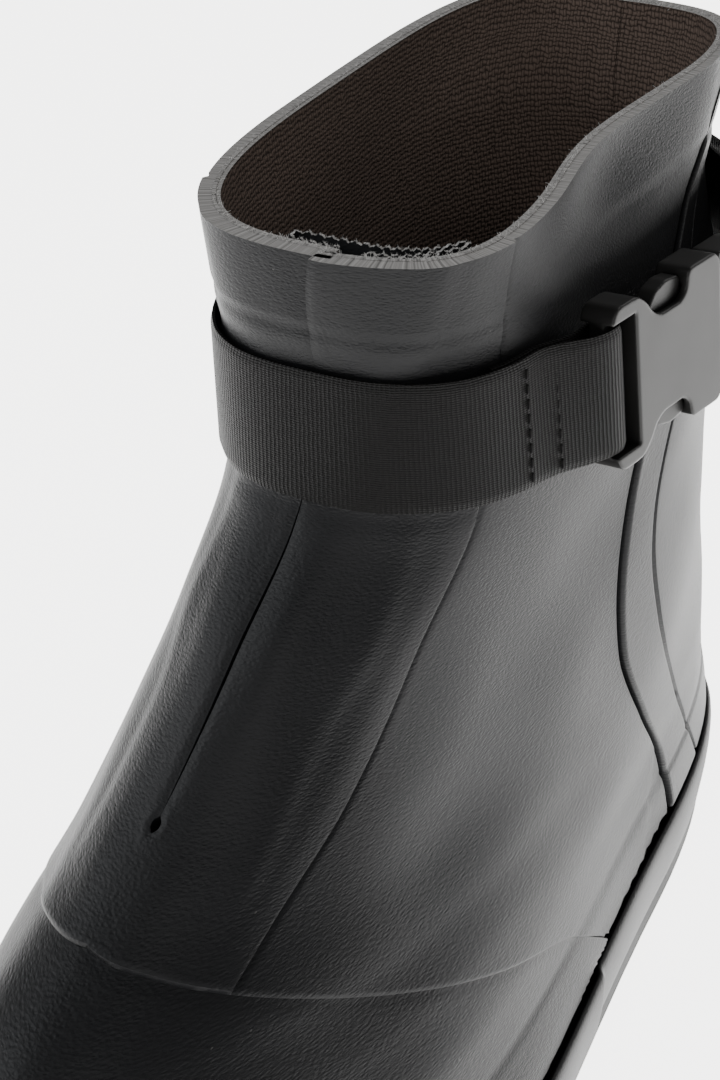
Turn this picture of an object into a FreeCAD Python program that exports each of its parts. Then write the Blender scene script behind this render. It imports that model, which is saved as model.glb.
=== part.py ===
import FreeCAD, Part
import bisect
import math
import os

import Sketcher

# Ankle-height rubber rain boot for a left foot, millimetres.
# +Z is up, the toe points to -Y, the heel to +Y, and +X is the lateral side, where the
# side-release buckle of the strap sits. The origin is the centre of the boot's box, on the ground.
#
# The upper is described by one smooth outer surface, upper_point(angle, height). Every layer of the
# boot is a solid between two offsets of that surface, so the layers nest without touching.

V = FreeCAD.Vector

DIMENSIONS = [
    ("shaft_height", 200, "rim above the ground"),
    ("frame_x", 0.05, "moves the foot's own axes so that the box is centred on the origin"),
    ("frame_y", -18.75, "the same along the foot"),
    ("skin", 1.5, "thickness of the outer rubber"),
    ("ply", 0.55, "thickness of the reinforcing plies"),
    ("lining_thickness", 0.7, "canvas lining"),
    ("layer_gap", 0.05, "room between two layers"),
    ("panel_gap", 0.12, "room between two neighbouring panels, at each side"),
    ("groove_width", 1.3, "open groove beside each raised side strip"),
    ("strip_rise", 0.9, "height of the side strips above the upper"),
    ("slit_width", 0.9, "front slit"),
    ("slit_bottom", 104, "height of the punched hole that ends the slit"),
    ("hole_radius", 1.3, "punched hole"),
    ("upper_bottom", 12, "lower edge of the upper, inside the foxing"),
    ("tread_depth", 4, "height of the tread lugs"),
    ("sole_plate", 5, "thickness of the outsole plate above the lugs"),
    ("foxing_top", 26.5, "upper edge of the foxing"),
    ("foxing_thickness", 3.4, "foxing, measured outwards from the upper"),
    ("glue_line", 0.5, "between the layers of the wall"),
    ("foxing_gap", 0.35, "glue line between foxing and upper"),
    ("midsole_thickness", 10.7, "filler between outsole and insole board"),
    ("board_thickness", 2, "insole board"),
    ("footbed_thickness", 5, "removable footbed"),
    ("shank_length", 96, "steel shank"),
    ("shank_width", 15, "steel shank"),
    ("shank_thickness", 1.5, "steel shank"),
    ("plate_gap", 1.0, "room round the insole board and the footbed"),
    ("heel_centre", 127, "middle of the heel's hollow, along the foot"),
    ("collar_band", 12.5, "depth of the reinforced collar"),
    ("web_width", 25, "strap webbing"),
    ("web_thickness", 1.3, "strap webbing"),
    ("web_height", 166, "height of the strap's centre line"),
    ("web_clear", 0.9, "room between strap and upper"),
    ("loop_width", 16, "rubber belt loop at the back"),
    ("buckle_x", 39.8, "front end of the buckle, middle of its thickness, from the foot's axis"),
    ("buckle_y", 33.4, "the same along the foot"),
    ("buckle_turn", 9, "degrees that the buckle turns out from the foot's axis"),
    ("buckle_lean", 6, "degrees that its upper edge leans inwards"),
    ("buckle_thickness", 7.6, "female half"),
    ("female_length", 39, "female half, bar to mouth"),
    ("female_width", 33, "female half at the bar"),
    ("waist_width", 20, "female half at the side openings"),
    ("bar_length", 3.4, "bar that the webbing turns round"),
    ("bar_thickness", 3.4, "bar that the webbing turns round"),
    ("web_slot", 4.8, "slot for the webbing, along the buckle"),
    ("cavity_height", 4.4, "inside of the female half"),
    ("cavity_width", 24.4, "inside of the female half"),
    ("cavity_start", 12, "front end of the inside"),
    ("window_start", 13.5, "side openings"),
    ("window_end", 27, "side openings"),
    ("male_length", 13.5, "base of the male half"),
    ("male_width", 29, "base of the male half"),
    ("male_thickness", 6.2, "base of the male half"),
    ("male_gap", 0.3, "room between the two halves"),
    ("guide_length", 18, "centre guide of the male half"),
    ("guide_width", 6, "centre guide of the male half"),
    ("prong_thickness", 3.8, "prongs and centre guide"),
    ("lug_length", 9, "tread lug along the foot"),
    ("lug_pitch", 14.5, "tread lugs along the foot"),
]

# Outer surface of the upper, one row for each height:
# height, front, back, middle of the forefoot, middle of the heel, half width of the forefoot,
# half width of the heel, squareness of the front, squareness of the back (2 is an ellipse).
SECTIONS = [
    (0, -126, 162, -1, 0, 49, 35, 2.4, 2.5),
    (14, -129, 166, -1, 0, 51, 37, 2.4, 2.6),
    (28, -129, 167, -1, 0, 52, 38, 2.3, 2.6),
    (40, -126, 165, -1, 1, 50, 38, 2.2, 2.5),
    (52, -120, 162, -1, 1, 48, 38, 2.1, 2.5),
    (64, -110, 158, -3, 2, 46, 38, 2.0, 2.4),
    (76, -95, 154, -5, 2, 43, 38, 2.0, 2.4),
    (88, -74, 149, -5, 2, 40, 38, 2.0, 2.4),
    (104, -51, 144, -4, 2, 38, 38, 2.1, 2.4),
    (128, -28, 140, -1, 2, 36, 38, 2.2, 2.3),
    (153, -8, 139, 2, 2, 36, 38, 2.6, 2.3),
    (178, -5, 142, 0, -3, 34.5, 36, 3.0, 2.5),
    (200, -2.7, 154, -1.5, -7, 39, 34.5, 3.1, 4.2),
]
# Lines on that surface, as (height, angle) pairs. Angle 0 is the front, 90 the lateral side,
# 180 the back and -90 the medial side.
SLIT_LINE = [(12, -4), (104, -4), (150, -4), (180, 2), (200, 7)]
FRONT_PANEL_EDGE = [(80, 31), (92, 34), (106, 38.5), (121, 41), (152, 42.5), (178, 49), (200, 50)]
STRIP_FRONT_EDGE = [(12, 121), (31, 120), (48, 117.5), (73, 108.5), (94, 99), (110, 94), (127, 91),
                    (145, 88.5), (162, 93), (170, 100), (178, 110.5), (188, 124), (200, 132)]
STRIP_BACK_EDGE = [(12, 132), (31, 129), (65, 119.5), (94, 108), (115, 101), (127, 99), (142, 98),
                   (162, 101.5), (170, 107.5), (178, 117), (188, 129.5), (200, 137)]
# Upper edge of the vamp, as (angle from its crest, height) pairs.
VAMP_EDGE = [(0, 89.5), (17, 87.8), (27, 86), (37, 83.5), (50, 79), (66, 70.5), (82, 59),
             (95.5, 46), (103.5, 32.5), (107, 25)]
VAMP_CREST = -5
VAMP_END = 106.5
TOE_SWING = -7          # the toe leans to the medial side
DENT_DEPTH = 12         # the lateral wall is pressed in at the rim
DENT_ANGLE = 79
DENT_SPREAD = 29
DENT_HEIGHT = 18

doc = FreeCAD.newDocument("RainBoot")
sheet = doc.addObject("Spreadsheet::Sheet", "Dimensions")
for row, (alias, value, note) in enumerate(DIMENSIONS, start=1):
    sheet.set("A%d" % row, alias)
    sheet.set("B%d" % row, str(value))
    sheet.setAlias("B%d" % row, alias)
    sheet.set("C%d" % row, note)
doc.recompute()


def size(alias):
    """The number that the sheet holds under this alias."""
    return float(sheet.get(alias))


FRAME = V(size("frame_x"), size("frame_y"), 0)
RIM = size("shaft_height")
SKIN = size("skin")
GAP = size("layer_gap")
PLY_OUT = -(SKIN + size("glue_line"))
PLY_IN = PLY_OUT - size("ply")
LINING_OUT = PLY_IN - size("glue_line")
LINING_IN = LINING_OUT - size("lining_thickness")
SOLE_TOP = size("tread_depth") + size("sole_plate")
MIDSOLE_TOP = SOLE_TOP + GAP + size("midsole_thickness")
BOARD_TOP = MIDSOLE_TOP + GAP + size("board_thickness")
PLY_BOTTOM = BOARD_TOP + 0.4
WEB_LOW = size("web_height") - size("web_width") / 2
WEB_HIGH = size("web_height") + size("web_width") / 2


# ---------------------------------------------------------------- curves and the outer surface

class Curve:
    """A smooth curve through (x, y) pairs that never overshoots between them."""

    def __init__(self, pairs):
        self.xs = [float(pair[0]) for pair in pairs]
        self.ys = [float(pair[1]) for pair in pairs]
        steps = [b - a for a, b in zip(self.xs, self.xs[1:])]
        slopes = [(b - a) / step for a, b, step in zip(self.ys, self.ys[1:], steps)]
        self.tangents = [slopes[0]]
        for before, after, left, right in zip(slopes, slopes[1:], steps, steps[1:]):
            if before * after <= 0:
                self.tangents.append(0.0)
            else:
                weight_1 = 2 * right + left
                weight_2 = right + 2 * left
                self.tangents.append((weight_1 + weight_2) / (weight_1 / before + weight_2 / after))
        self.tangents.append(slopes[-1])

    def __call__(self, x):
        i = min(max(bisect.bisect(self.xs, x) - 1, 0), len(self.xs) - 2)
        step = self.xs[i + 1] - self.xs[i]
        t = (x - self.xs[i]) / step
        start = (1 + 2 * t) * (1 - t) ** 2 * self.ys[i] + t * (1 - t) ** 2 * step * self.tangents[i]
        end = t * t * (3 - 2 * t) * self.ys[i + 1] - t * t * (1 - t) * step * self.tangents[i + 1]
        return start + end


def smooth(t):
    """0 to 1 with soft ends."""
    t = min(max(t, 0.0), 1.0)
    return t * t * (3 - 2 * t)


section_curves = [Curve([(row[0], row[k]) for row in SECTIONS]) for k in range(1, 9)]
slit_line = Curve(SLIT_LINE)
front_panel_edge = Curve(FRONT_PANEL_EDGE)
strip_front_edge = Curve(STRIP_FRONT_EDGE)
strip_back_edge = Curve(STRIP_BACK_EDGE)
vamp_edge = Curve(VAMP_EDGE)


def upper_point(angle, height):
    """Point of the boot's outer surface."""
    front, back, mid_front, mid_back, half_front, half_back, square_front, square_back = [
        curve(height) for curve in section_curves]
    c = math.cos(math.radians(angle))
    s = math.sin(math.radians(angle))
    n = square_front if c > 0 else square_back
    k = (abs(c) ** n + abs(s) ** n) ** (-1 / n)
    y = (front + back) / 2 - (back - front) / 2 * c * k
    heel = smooth(((y - front) / (back - front) - 0.25) / 0.5)
    middle = mid_front + (mid_back - mid_front) * heel
    half = half_front + (half_back - half_front) * heel
    x = middle + half * s * k + TOE_SWING * smooth((-y - 30) / 110)
    turn = (angle + 180) % 360 - 180
    x -= (DENT_DEPTH * math.exp(-((turn - DENT_ANGLE) / DENT_SPREAD) ** 2)
          * math.exp(-((height - RIM) / DENT_HEIGHT) ** 2))
    return V(x, y, height) + FRAME


def upper_normal(angle, height):
    """Outward direction of the outer surface."""
    around = upper_point(angle + 0.5, height) - upper_point(angle - 0.5, height)
    upward = upper_point(angle, height + 0.5) - upper_point(angle, height - 0.5)
    return around.cross(upward).normalize()


def off_surface(angle, height, offset):
    """Point at an offset outwards from the outer surface, straight sideways at the rim."""
    normal = upper_normal(angle, height)
    normal.z *= 1 - smooth((height - RIM + 14) / 10)
    return upper_point(angle, height) + normal.normalize() * offset


def shift_angle(angle, height, distance):
    """The angle that lies this distance further round the boot at one height."""
    step = (upper_point(angle + 0.5, height) - upper_point(angle - 0.5, height)).Length
    return angle + distance / step


# ---------------------------------------------------------------- solids between two offsets

def skin_solid(outer, inner):
    """Closed solid between two grids of points with the same rows and columns."""
    faces = []
    borders = []
    for grid in (outer, inner):
        surface = Part.BSplineSurface()
        surface.interpolate(grid)
        u0, u1, v0, v1 = surface.bounds()
        faces.append(surface.toShape())
        borders.append([surface.uIso(u0), surface.uIso(u1), surface.vIso(v0), surface.vIso(v1)])
    for outer_edge, inner_edge in zip(*borders):
        faces.append(Part.makeRuledSurface(outer_edge.toShape(), inner_edge.toShape(), 1))
    shell = Part.makeShell(faces)
    shell.sewShape()
    solid = Part.Solid(shell)
    if solid.Volume < 0:
        solid.reverse()
    return solid


def blend(start, end, t):
    """Point between two (angle, height) pairs."""
    return (start[0] + (end[0] - start[0]) * t, start[1] + (end[1] - start[1]) * t)


def panel_grid(bottom, top, left, right, columns, rows):
    """Grid of (angle, height) pairs that fills the region between four lines."""
    grid = []
    for i in range(columns + 1):
        s = i / columns
        line = []
        for j in range(rows + 1):
            t = j / rows
            across = blend(left(t), right(t), s)
            along = blend(bottom(s), top(s), t)
            corner = blend(blend(bottom(0), bottom(1), s), blend(top(0), top(1), s), t)
            line.append((across[0] + along[0] - corner[0], across[1] + along[1] - corner[1]))
        grid.append(line)
    return grid


def layer(grid, outer_offset, inner_offset):
    """Solid that follows the outer surface over a grid of (angle, height) pairs.

    The offsets are numbers or functions of (angle, height)."""
    def offset_grid(offset):
        value = offset if callable(offset) else (lambda angle, height: offset)
        return [[off_surface(angle, height, value(angle, height)) for angle, height in line]
                for line in grid]
    return skin_solid(offset_grid(outer_offset), offset_grid(inner_offset))


def upright_grid(left_edge, right_edge, low, high, columns, rows):
    """Grid between two lines that climb the boot, cut level at both ends.

    The edges are functions that give the angle at a height."""
    grid = []
    for i in range(columns + 1):
        s = i / columns
        line = []
        for j in range(rows + 1):
            height = low + (high - low) * j / rows
            line.append((left_edge(height) + (right_edge(height) - left_edge(height)) * s, height))
        grid.append(line)
    return grid


def level_wire(height, offset, count=144):
    """Closed smooth curve round the boot at one height."""
    points = []
    for i in range(count):
        angle = 360 * i / count
        normal = upper_normal(angle, height)
        outward = V(normal.x, normal.y, 0).normalize()
        points.append(upper_point(angle, height) + outward * offset)
    curve = Part.BSplineCurve()
    curve.interpolate(Points=points, PeriodicFlag=True)
    return Part.Wire(curve.toShape())


def at_height(wire, height):
    """The same curve moved straight up or down to another height."""
    moved = wire.copy()
    moved.translate(V(0, 0, height - wire.BoundBox.ZMin))
    return moved


def add_feature(name, shape):
    """Sub-part whose shape is made by Part functions."""
    feature = doc.addObject("Part::Feature", name)
    feature.Label = name
    feature.Shape = shape
    feature.Placement = FreeCAD.Placement()
    return feature


# ---------------------------------------------------------------- the upper's outer panels

def mirrored(edge):
    """The same line on the medial side."""
    return lambda height: -edge(height)


def inset(edge, distance):
    """A line moved round the boot by a distance in millimetres."""
    return lambda height: shift_angle(edge(height), height, distance)


def whole_turn(edge):
    """A medial line counted on from the back, so that it follows the lateral one."""
    return lambda height: edge(height) + 360


def slit_cutter(outer_offset, inner_offset):
    """Thin blade through the front, with the punched hole at its lower end."""
    half = size("slit_width") / 2
    low = size("slit_bottom")
    grid = upright_grid(inset(slit_line, -half), inset(slit_line, half), low, RIM + 2, 2, 24)
    blade = layer(grid, outer_offset + 2, inner_offset - 2)
    angle = slit_line(low)
    normal = upper_normal(angle, low)
    start = upper_point(angle, low) - normal * 8
    hole = Part.makeCylinder(size("hole_radius"), 14, start, normal)
    return [blade, hole]


def vamp_height(angle):
    """Height of the vamp's upper edge at an angle."""
    return vamp_edge(abs(angle - VAMP_CREST))


def along_vamp(start, end, lift):
    """Line that follows the vamp's upper edge from one angle to another."""
    def line(t):
        angle = start + (end - start) * t
        return (angle, vamp_height(angle) + lift)
    return line


def climbing(edge, low, high):
    """Line that climbs along an edge from one height to another."""
    def line(t):
        height = low + (high - low) * t
        return (edge(height), height)
    return line


def make_front_panel():
    lift = size("panel_gap")
    left = inset(mirrored(front_panel_edge), lift)
    right = inset(front_panel_edge, -lift)
    left_angle = left(84)
    right_angle = right(84)
    low_left = vamp_height(left_angle) + lift
    low_right = vamp_height(right_angle) + lift
    grid = panel_grid(along_vamp(left_angle, right_angle, lift),
                      lambda s: (left(RIM) + (right(RIM) - left(RIM)) * s, RIM),
                      climbing(lambda z: left(max(z, 84)), low_left, RIM),
                      climbing(lambda z: right(max(z, 84)), low_right, RIM), 20, 24)
    return layer(grid, 0, -SKIN).cut(slit_cutter(0, -SKIN))


def quarter_bottom(start, end, side, lift):
    """Lower edge of a quarter: down along the vamp, then level inside the foxing."""
    floor = size("upper_bottom")

    def line(t):
        angle = start + (end - start) * t
        from_crest = angle - VAMP_CREST * side
        if from_crest < VAMP_END:
            return (angle, vamp_edge(from_crest) + lift)
        drop = (from_crest - VAMP_END) / (end - VAMP_CREST * side - VAMP_END)
        return (angle, (vamp_edge(VAMP_END) + lift) * (1 - drop) + floor * drop)
    return line


def make_quarter(side):
    """Side panel, from the front panel to the groove before the side strip."""
    gap = size("panel_gap")
    groove = size("groove_width")
    front = inset(front_panel_edge, gap)
    back = inset(strip_front_edge, -groove)
    start = front(84)
    end = back(size("upper_bottom"))
    bottom = quarter_bottom(start, end, side, gap)
    grid = panel_grid(bottom, lambda s: (front(RIM) + (back(RIM) - front(RIM)) * s, RIM),
                      climbing(lambda z: front(max(z, 84)), bottom(0)[1], RIM),
                      climbing(back, bottom(1)[1], RIM), 48, 28)
    if side < 0:
        grid = [[(-angle, height) for angle, height in line] for line in reversed(grid)]
    return layer(grid, 0, -SKIN)


def make_vamp():
    """Toe piece, from its edge across the instep down into the foxing."""
    floor = size("upper_bottom")
    lift = -size("panel_gap")
    half = VAMP_END - 0.4
    left_angle = VAMP_CREST - half
    right_angle = VAMP_CREST + half
    top = along_vamp(left_angle, right_angle, lift)
    grid = panel_grid(lambda s: (left_angle + (right_angle - left_angle) * s, floor), top,
                      lambda t: (left_angle, floor + (top(0)[1] - floor) * t),
                      lambda t: (right_angle, floor + (top(1)[1] - floor) * t), 40, 20)
    return layer(grid, 0, -SKIN)


def side_strip(side):
    """Raised strip between two grooves."""
    grid = upright_grid(strip_front_edge, strip_back_edge, size("upper_bottom"), RIM, 4, 40)
    if side < 0:
        grid = [[(-angle, height) for angle, height in line] for line in reversed(grid)]

    def rise(angle, height):
        return size("strip_rise") * smooth((height - size("foxing_top") - 0.5) / 3)
    return layer(grid, rise, -SKIN)


def make_back_panel():
    groove = size("groove_width")
    left = inset(strip_back_edge, groove)
    right = whole_turn(mirrored(left))
    return layer(upright_grid(left, right, size("upper_bottom"), RIM, 48, 36), 0, -SKIN)


add_feature("front_panel", make_front_panel())
add_feature("quarter_lateral", make_quarter(1))
add_feature("quarter_medial", make_quarter(-1))
add_feature("vamp", make_vamp())
add_feature("side_strip_lateral", side_strip(1))
add_feature("side_strip_medial", side_strip(-1))
add_feature("back_panel", make_back_panel())

# ---------------------------------------------------------------- plies and lining inside


def flat_grid(left, right, low, high, columns, rows):
    """Grid between two fixed angles, where low and high are heights or functions of the angle."""
    low_at = low if callable(low) else (lambda angle: low)
    high_at = high if callable(high) else (lambda angle: high)
    grid = []
    for i in range(columns + 1):
        angle = left + (right - left) * i / columns
        grid.append([(angle, low_at(angle) + (high_at(angle) - low_at(angle)) * j / rows)
                     for j in range(rows + 1)])
    return grid


def ply(grid):
    return layer(grid, PLY_OUT, PLY_IN)


def make_front_backing():
    """Ply behind the front panel, whose edges show through as soft ridges."""
    edge = Curve([(90, 26), (117, 27), (131, 31), (152, 30), (190, 34)])
    grid = upright_grid(mirrored(edge), edge, size("slit_bottom") - 12,
                        RIM - size("collar_band") - 0.4, 14, 18)
    return ply(grid).cut(slit_cutter(PLY_OUT, PLY_IN))


def make_collar_tape():
    """Tape round the rim, open at the slit, in two lengths that meet at the back.

    It is a little thinner than the plies, because the rim curves the most.
    """
    half = size("slit_width") / 2
    low = RIM - size("collar_band")
    inside = PLY_IN + 0.2
    lateral = upright_grid(inset(slit_line, half), lambda z: 179.9, low, RIM, 90, 4)
    medial = upright_grid(lambda z: -179.9, inset(slit_line, -half), low, RIM, 90, 4)
    return Part.Compound([layer(lateral, PLY_OUT, inside), layer(medial, PLY_OUT, inside)])


def seam_tape(side):
    """Tape behind a side strip and its two grooves."""
    reach = size("groove_width") + 2.5
    grid = upright_grid(inset(strip_front_edge, -reach), inset(strip_back_edge, reach), 43,
                        RIM - size("collar_band") - 0.4, 8, 40)
    if side < 0:
        grid = [[(-angle, height) for angle, height in line] for line in reversed(grid)]
    return ply(grid)


TOE_PUFF_ANGLE = 62
COUNTER_ANGLE = 141
RAND_TOP = 41


def lining(side):
    """Half of the canvas sock, from the slit round to the back seam."""
    half = size("slit_width") / 2
    low = PLY_BOTTOM
    grid = upright_grid(inset(slit_line, half), lambda z: 179.85, low, RIM, 96, 40)
    if side < 0:
        grid = upright_grid(lambda z: -179.85, inset(slit_line, -half), low, RIM, 96, 40)
    return layer(grid, LINING_OUT, LINING_IN)


def rand_ply(side):
    """Low side ply, from the toe puff to the heel counter."""
    start = TOE_PUFF_ANGLE + 1
    end = COUNTER_ANGLE - 1
    if side < 0:
        start, end = -end, -start
    return ply(flat_grid(start, end, PLY_BOTTOM, RAND_TOP, 24, 6))


def even_points(points, step):
    """Points at an even pitch along a smooth curve through the given ones."""
    curve = Part.BSplineCurve()
    curve.interpolate(points)
    return curve.discretize(Number=max(int(curve.length() / step), 8))


def make_gusset():
    """Folded leaf of thin rubbered cloth that closes the slit from inside.

    The fold is drawn flat, as (along the front, behind the outer surface) pairs."""
    fold = [(-2, 4.3), (-4, 4.3), (-6, 4.3), (-8, 4.3), (-9.1, 4.6), (-9.55, 5.2), (-9.1, 5.8),
            (-8, 6.1), (-5, 6.1), (0, 6.1), (6, 6.1), (12, 6.1), (18, 6.1), (21, 5.9), (23, 5.5),
            (25, 4.9)]
    path = even_points([V(along, deep, 0) for along, deep in fold], 0.7)
    half = 0.25
    rows = 16
    low = size("slit_bottom") + 3
    high = RIM - 1.2

    def grid(side):
        lines = []
        for i, point in enumerate(path):
            run = path[min(i + 1, len(path) - 1)] - path[max(i - 1, 0)]
            across = V(run.y, -run.x, 0).normalize() * side
            line = []
            for j in range(rows + 1):
                height = low + (high - low) * j / rows
                angle = shift_angle(slit_line(height), height, point.x + across.x)
                line.append(off_surface(angle, height, -point.y - across.y))
            lines.append(line)
        return lines
    return skin_solid(grid(half), grid(-half))


add_feature("front_backing", make_front_backing())
add_feature("collar_tape", make_collar_tape())
add_feature("seam_tape_lateral", seam_tape(1))
add_feature("seam_tape_medial", seam_tape(-1))
add_feature("toe_puff", ply(flat_grid(-TOE_PUFF_ANGLE, TOE_PUFF_ANGLE, PLY_BOTTOM, 62, 40, 12)))
add_feature("heel_counter", ply(flat_grid(COUNTER_ANGLE, 360 - COUNTER_ANGLE, PLY_BOTTOM,
                                          lambda angle: 58 + 24 * math.cos(math.radians(
                                              (angle - 180) * 2.2)), 30, 14)))
add_feature("rand_ply_lateral", rand_ply(1))
add_feature("rand_ply_medial", rand_ply(-1))
add_feature("lining_lateral", lining(1))
add_feature("lining_medial", lining(-1))
add_feature("gusset", make_gusset())

# ---------------------------------------------------------------- the bottom


def ring_solid(outer_wires, inner_wires):
    """Band with level ends between an outer and an inner stack of closed curves."""
    return Part.makeLoft(outer_wires, True, False).cut(Part.makeLoft(inner_wires, True, False))


def make_foxing():
    """Rubber band round the lower edge of the upper, standing on the outsole."""
    low = SOLE_TOP + GAP
    high = size("foxing_top")
    heights = [low, low + 5, high - 4, high]
    lean = Curve([(low, 0), (low + 5, 0.3), (high - 4, 0.2), (high, -0.9)])
    thickness = size("foxing_thickness")
    inner = [level_wire(z, size("foxing_gap")) for z in heights]
    outer = [level_wire(z, thickness + lean(z)) for z in heights]
    return ring_solid(outer, inner)


def make_outsole():
    """Sole plate with its tread: cross lugs under the forefoot and the waist."""
    thickness = size("foxing_thickness")
    low = size("tread_depth")
    edge = level_wire(SOLE_TOP, thickness)
    plate = Part.Face(at_height(edge, low)).extrude(V(0, 0, SOLE_TOP - low))
    inside = Part.Face(at_height(level_wire(SOLE_TOP, thickness - 2.5), 0)).extrude(V(0, 0, low))
    bars = []
    start = plate.BoundBox.YMin + 3
    while start < HEEL_BREAST - size("lug_length"):
        bars.append(Part.makeBox(140, size("lug_length"), low, V(-70, start, 0)))
        start += size("lug_pitch")
    lugs = inside.common(Part.Compound(bars))
    channel = Part.makeBox(5, 300, low, V(-2.5 + FRAME.x, -150, 0))
    return plate.fuse(lugs.cut(channel).Solids)


HEEL_BREAST = 58 + FRAME.y


def make_heel_pad():
    """Hard-wearing heel, a horseshoe round a shallow hollow, below the sole plate."""
    thickness = size("foxing_thickness")
    high = size("tread_depth") - 0.02
    inside = Part.Face(at_height(level_wire(SOLE_TOP, thickness - 1.5), 0)).extrude(V(0, 0, high))
    block = inside.common(Part.makeBox(140, 200, high, V(-70, HEEL_BREAST, 0)))
    hollow = Part.makeCylinder(15, 2.2, V(FRAME.x, size("heel_centre") + FRAME.y - 8, 0))
    return block.cut(hollow)


def make_midsole():
    """Filler inside the foxing, with a bed for the shank."""
    low = SOLE_TOP + GAP
    edge = at_height(level_wire(18, LINING_IN - 0.6), low)
    block = Part.Face(edge).extrude(V(0, 0, size("midsole_thickness")))
    length = size("shank_length") + 0.6
    width = size("shank_width") + 0.6
    depth = size("shank_thickness") + 0.1
    corner = V(FRAME.x - width / 2, FRAME.y - 6, low + size("midsole_thickness") - depth)
    return block.cut(Part.makeBox(width, length, depth, corner))


add_feature("foxing", make_foxing())
add_feature("outsole", make_outsole())
add_feature("heel_pad", make_heel_pad())
add_feature("midsole", make_midsole())


def origin_plane(body, role):
    """One of the body's own origin planes."""
    return next(item for item in body.Origin.OriginFeatures if item.Role == role)


def new_body(name):
    body = doc.addObject("PartDesign::Body", name)
    body.Label = name
    return body


def new_sketch(body, name, role):
    sketch = body.newObject("Sketcher::SketchObject", name)
    sketch.AttachmentSupport = [(origin_plane(body, role), "")]
    sketch.MapMode = "FlatFace"
    return sketch


def pad_of(body, sketch, name, length, midplane=False):
    """Pad whose length is an expression on the sheet."""
    pad = body.newObject("PartDesign::Pad", name)
    pad.Profile = sketch
    pad.setExpression("Length", length)
    pad.Midplane = midplane
    sketch.Visibility = False
    return pad


def rectangle(sketch, left, low, right, high):
    """Rectangle given by four expressions on the sheet's aliases."""
    def value(formula):
        return eval_formula(formula)
    corners = [V(value(left), value(low), 0), V(value(right), value(low), 0),
               V(value(right), value(high), 0), V(value(left), value(high), 0)]
    first = sketch.GeometryCount
    for k in range(4):
        sketch.addGeometry(Part.LineSegment(corners[k], corners[(k + 1) % 4]), False)
    for k in range(4):
        sketch.addConstraint(Sketcher.Constraint("Coincident", first + k, 2,
                                                 first + (k + 1) % 4, 1))
        kind = "Horizontal" if k % 2 == 0 else "Vertical"
        sketch.addConstraint(Sketcher.Constraint(kind, first + k))
    named = [("DistanceX", first, 1, left), ("DistanceY", first, 1, low),
             ("DistanceX", first + 2, 1, right), ("DistanceY", first + 2, 1, high)]
    for kind, line, point, formula in named:
        index = sketch.addConstraint(Sketcher.Constraint(kind, -1, 1, line, point,
                                                         value(formula)))
        label = "place_%d" % index
        sketch.renameConstraint(index, label)
        sketch.setExpression("Constraints." + label, formula)


scratch = doc.addObject("App::FeaturePython", "Scratch")
scratch.addProperty("App::PropertyFloat", "Value")


def eval_formula(formula):
    """Value of an expression on the sheet."""
    scratch.setExpression("Value", formula)
    scratch.recompute()
    return scratch.Value


def make_foot_plate(inset_by, low, thickness):
    """Level plate that fills the boot: the insole board or the footbed."""
    edge = at_height(level_wire(low, -inset_by), low)
    return Part.Face(edge).extrude(V(0, 0, thickness))


add_feature("insole_board", make_foot_plate(SKIN + size("plate_gap"), MIDSOLE_TOP + GAP,
                                            size("board_thickness")))
add_feature("footbed", make_foot_plate(size("plate_gap") - LINING_IN, BOARD_TOP + GAP,
                                       size("footbed_thickness")))


def make_shank():
    """Steel shank with round ends."""
    body = new_body("shank")
    sketch = new_sketch(body, "shank_outline", "XY_Plane")
    rectangle(sketch, "-Dimensions.shank_width / 2", "-Dimensions.shank_length / 2",
              "Dimensions.shank_width / 2", "Dimensions.shank_length / 2")
    pad_of(body, sketch, "shank_pad", "Dimensions.shank_thickness")
    height = MIDSOLE_TOP - size("shank_thickness") - 0.05
    place = FRAME + V(0, size("shank_length") / 2 - 5.7, height)
    body.Placement = FreeCAD.Placement(place, FreeCAD.Rotation())


make_shank()

# ---------------------------------------------------------------- the buckle

# Buckle frame: x runs back along the buckle, y up across the webbing, z outwards.
turn = math.radians(size("buckle_turn"))
lean = math.radians(-size("buckle_lean"))
BUCKLE_X = V(math.sin(turn), math.cos(turn), 0)
BUCKLE_Z = V(math.cos(turn) * math.cos(lean), -math.sin(turn) * math.cos(lean), -math.sin(lean))
BUCKLE_Y = BUCKLE_Z.cross(BUCKLE_X)
BUCKLE_ORIGIN = V(size("buckle_x"), size("buckle_y"), size("web_height")) + FRAME
BUCKLE_PLACE = FreeCAD.Placement(BUCKLE_ORIGIN, FreeCAD.Rotation(BUCKLE_X, BUCKLE_Y, BUCKLE_Z, "ZXY"))


def closed_outline(sketch, points, curved=()):
    """Closed outline of straight runs, with a spline through the points of each curved stretch."""
    k = 0
    count = len(points)
    geometry = []
    while k < count:
        stretch = next((c for c in curved if c[0] == k), None)
        if stretch:
            chosen = [points[i % count] for i in range(stretch[0], stretch[1] + 1)]
            spline = Part.BSplineCurve()
            spline.interpolate(chosen)
            geometry.append(spline)
            k = stretch[1]
        else:
            geometry.append(Part.LineSegment(points[k], points[(k + 1) % count]))
            k += 1
    sketch.addGeometry(geometry, False)
    for i in range(len(geometry)):
        sketch.addConstraint(Sketcher.Constraint("Coincident", i, 2, (i + 1) % len(geometry), 1))


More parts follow.
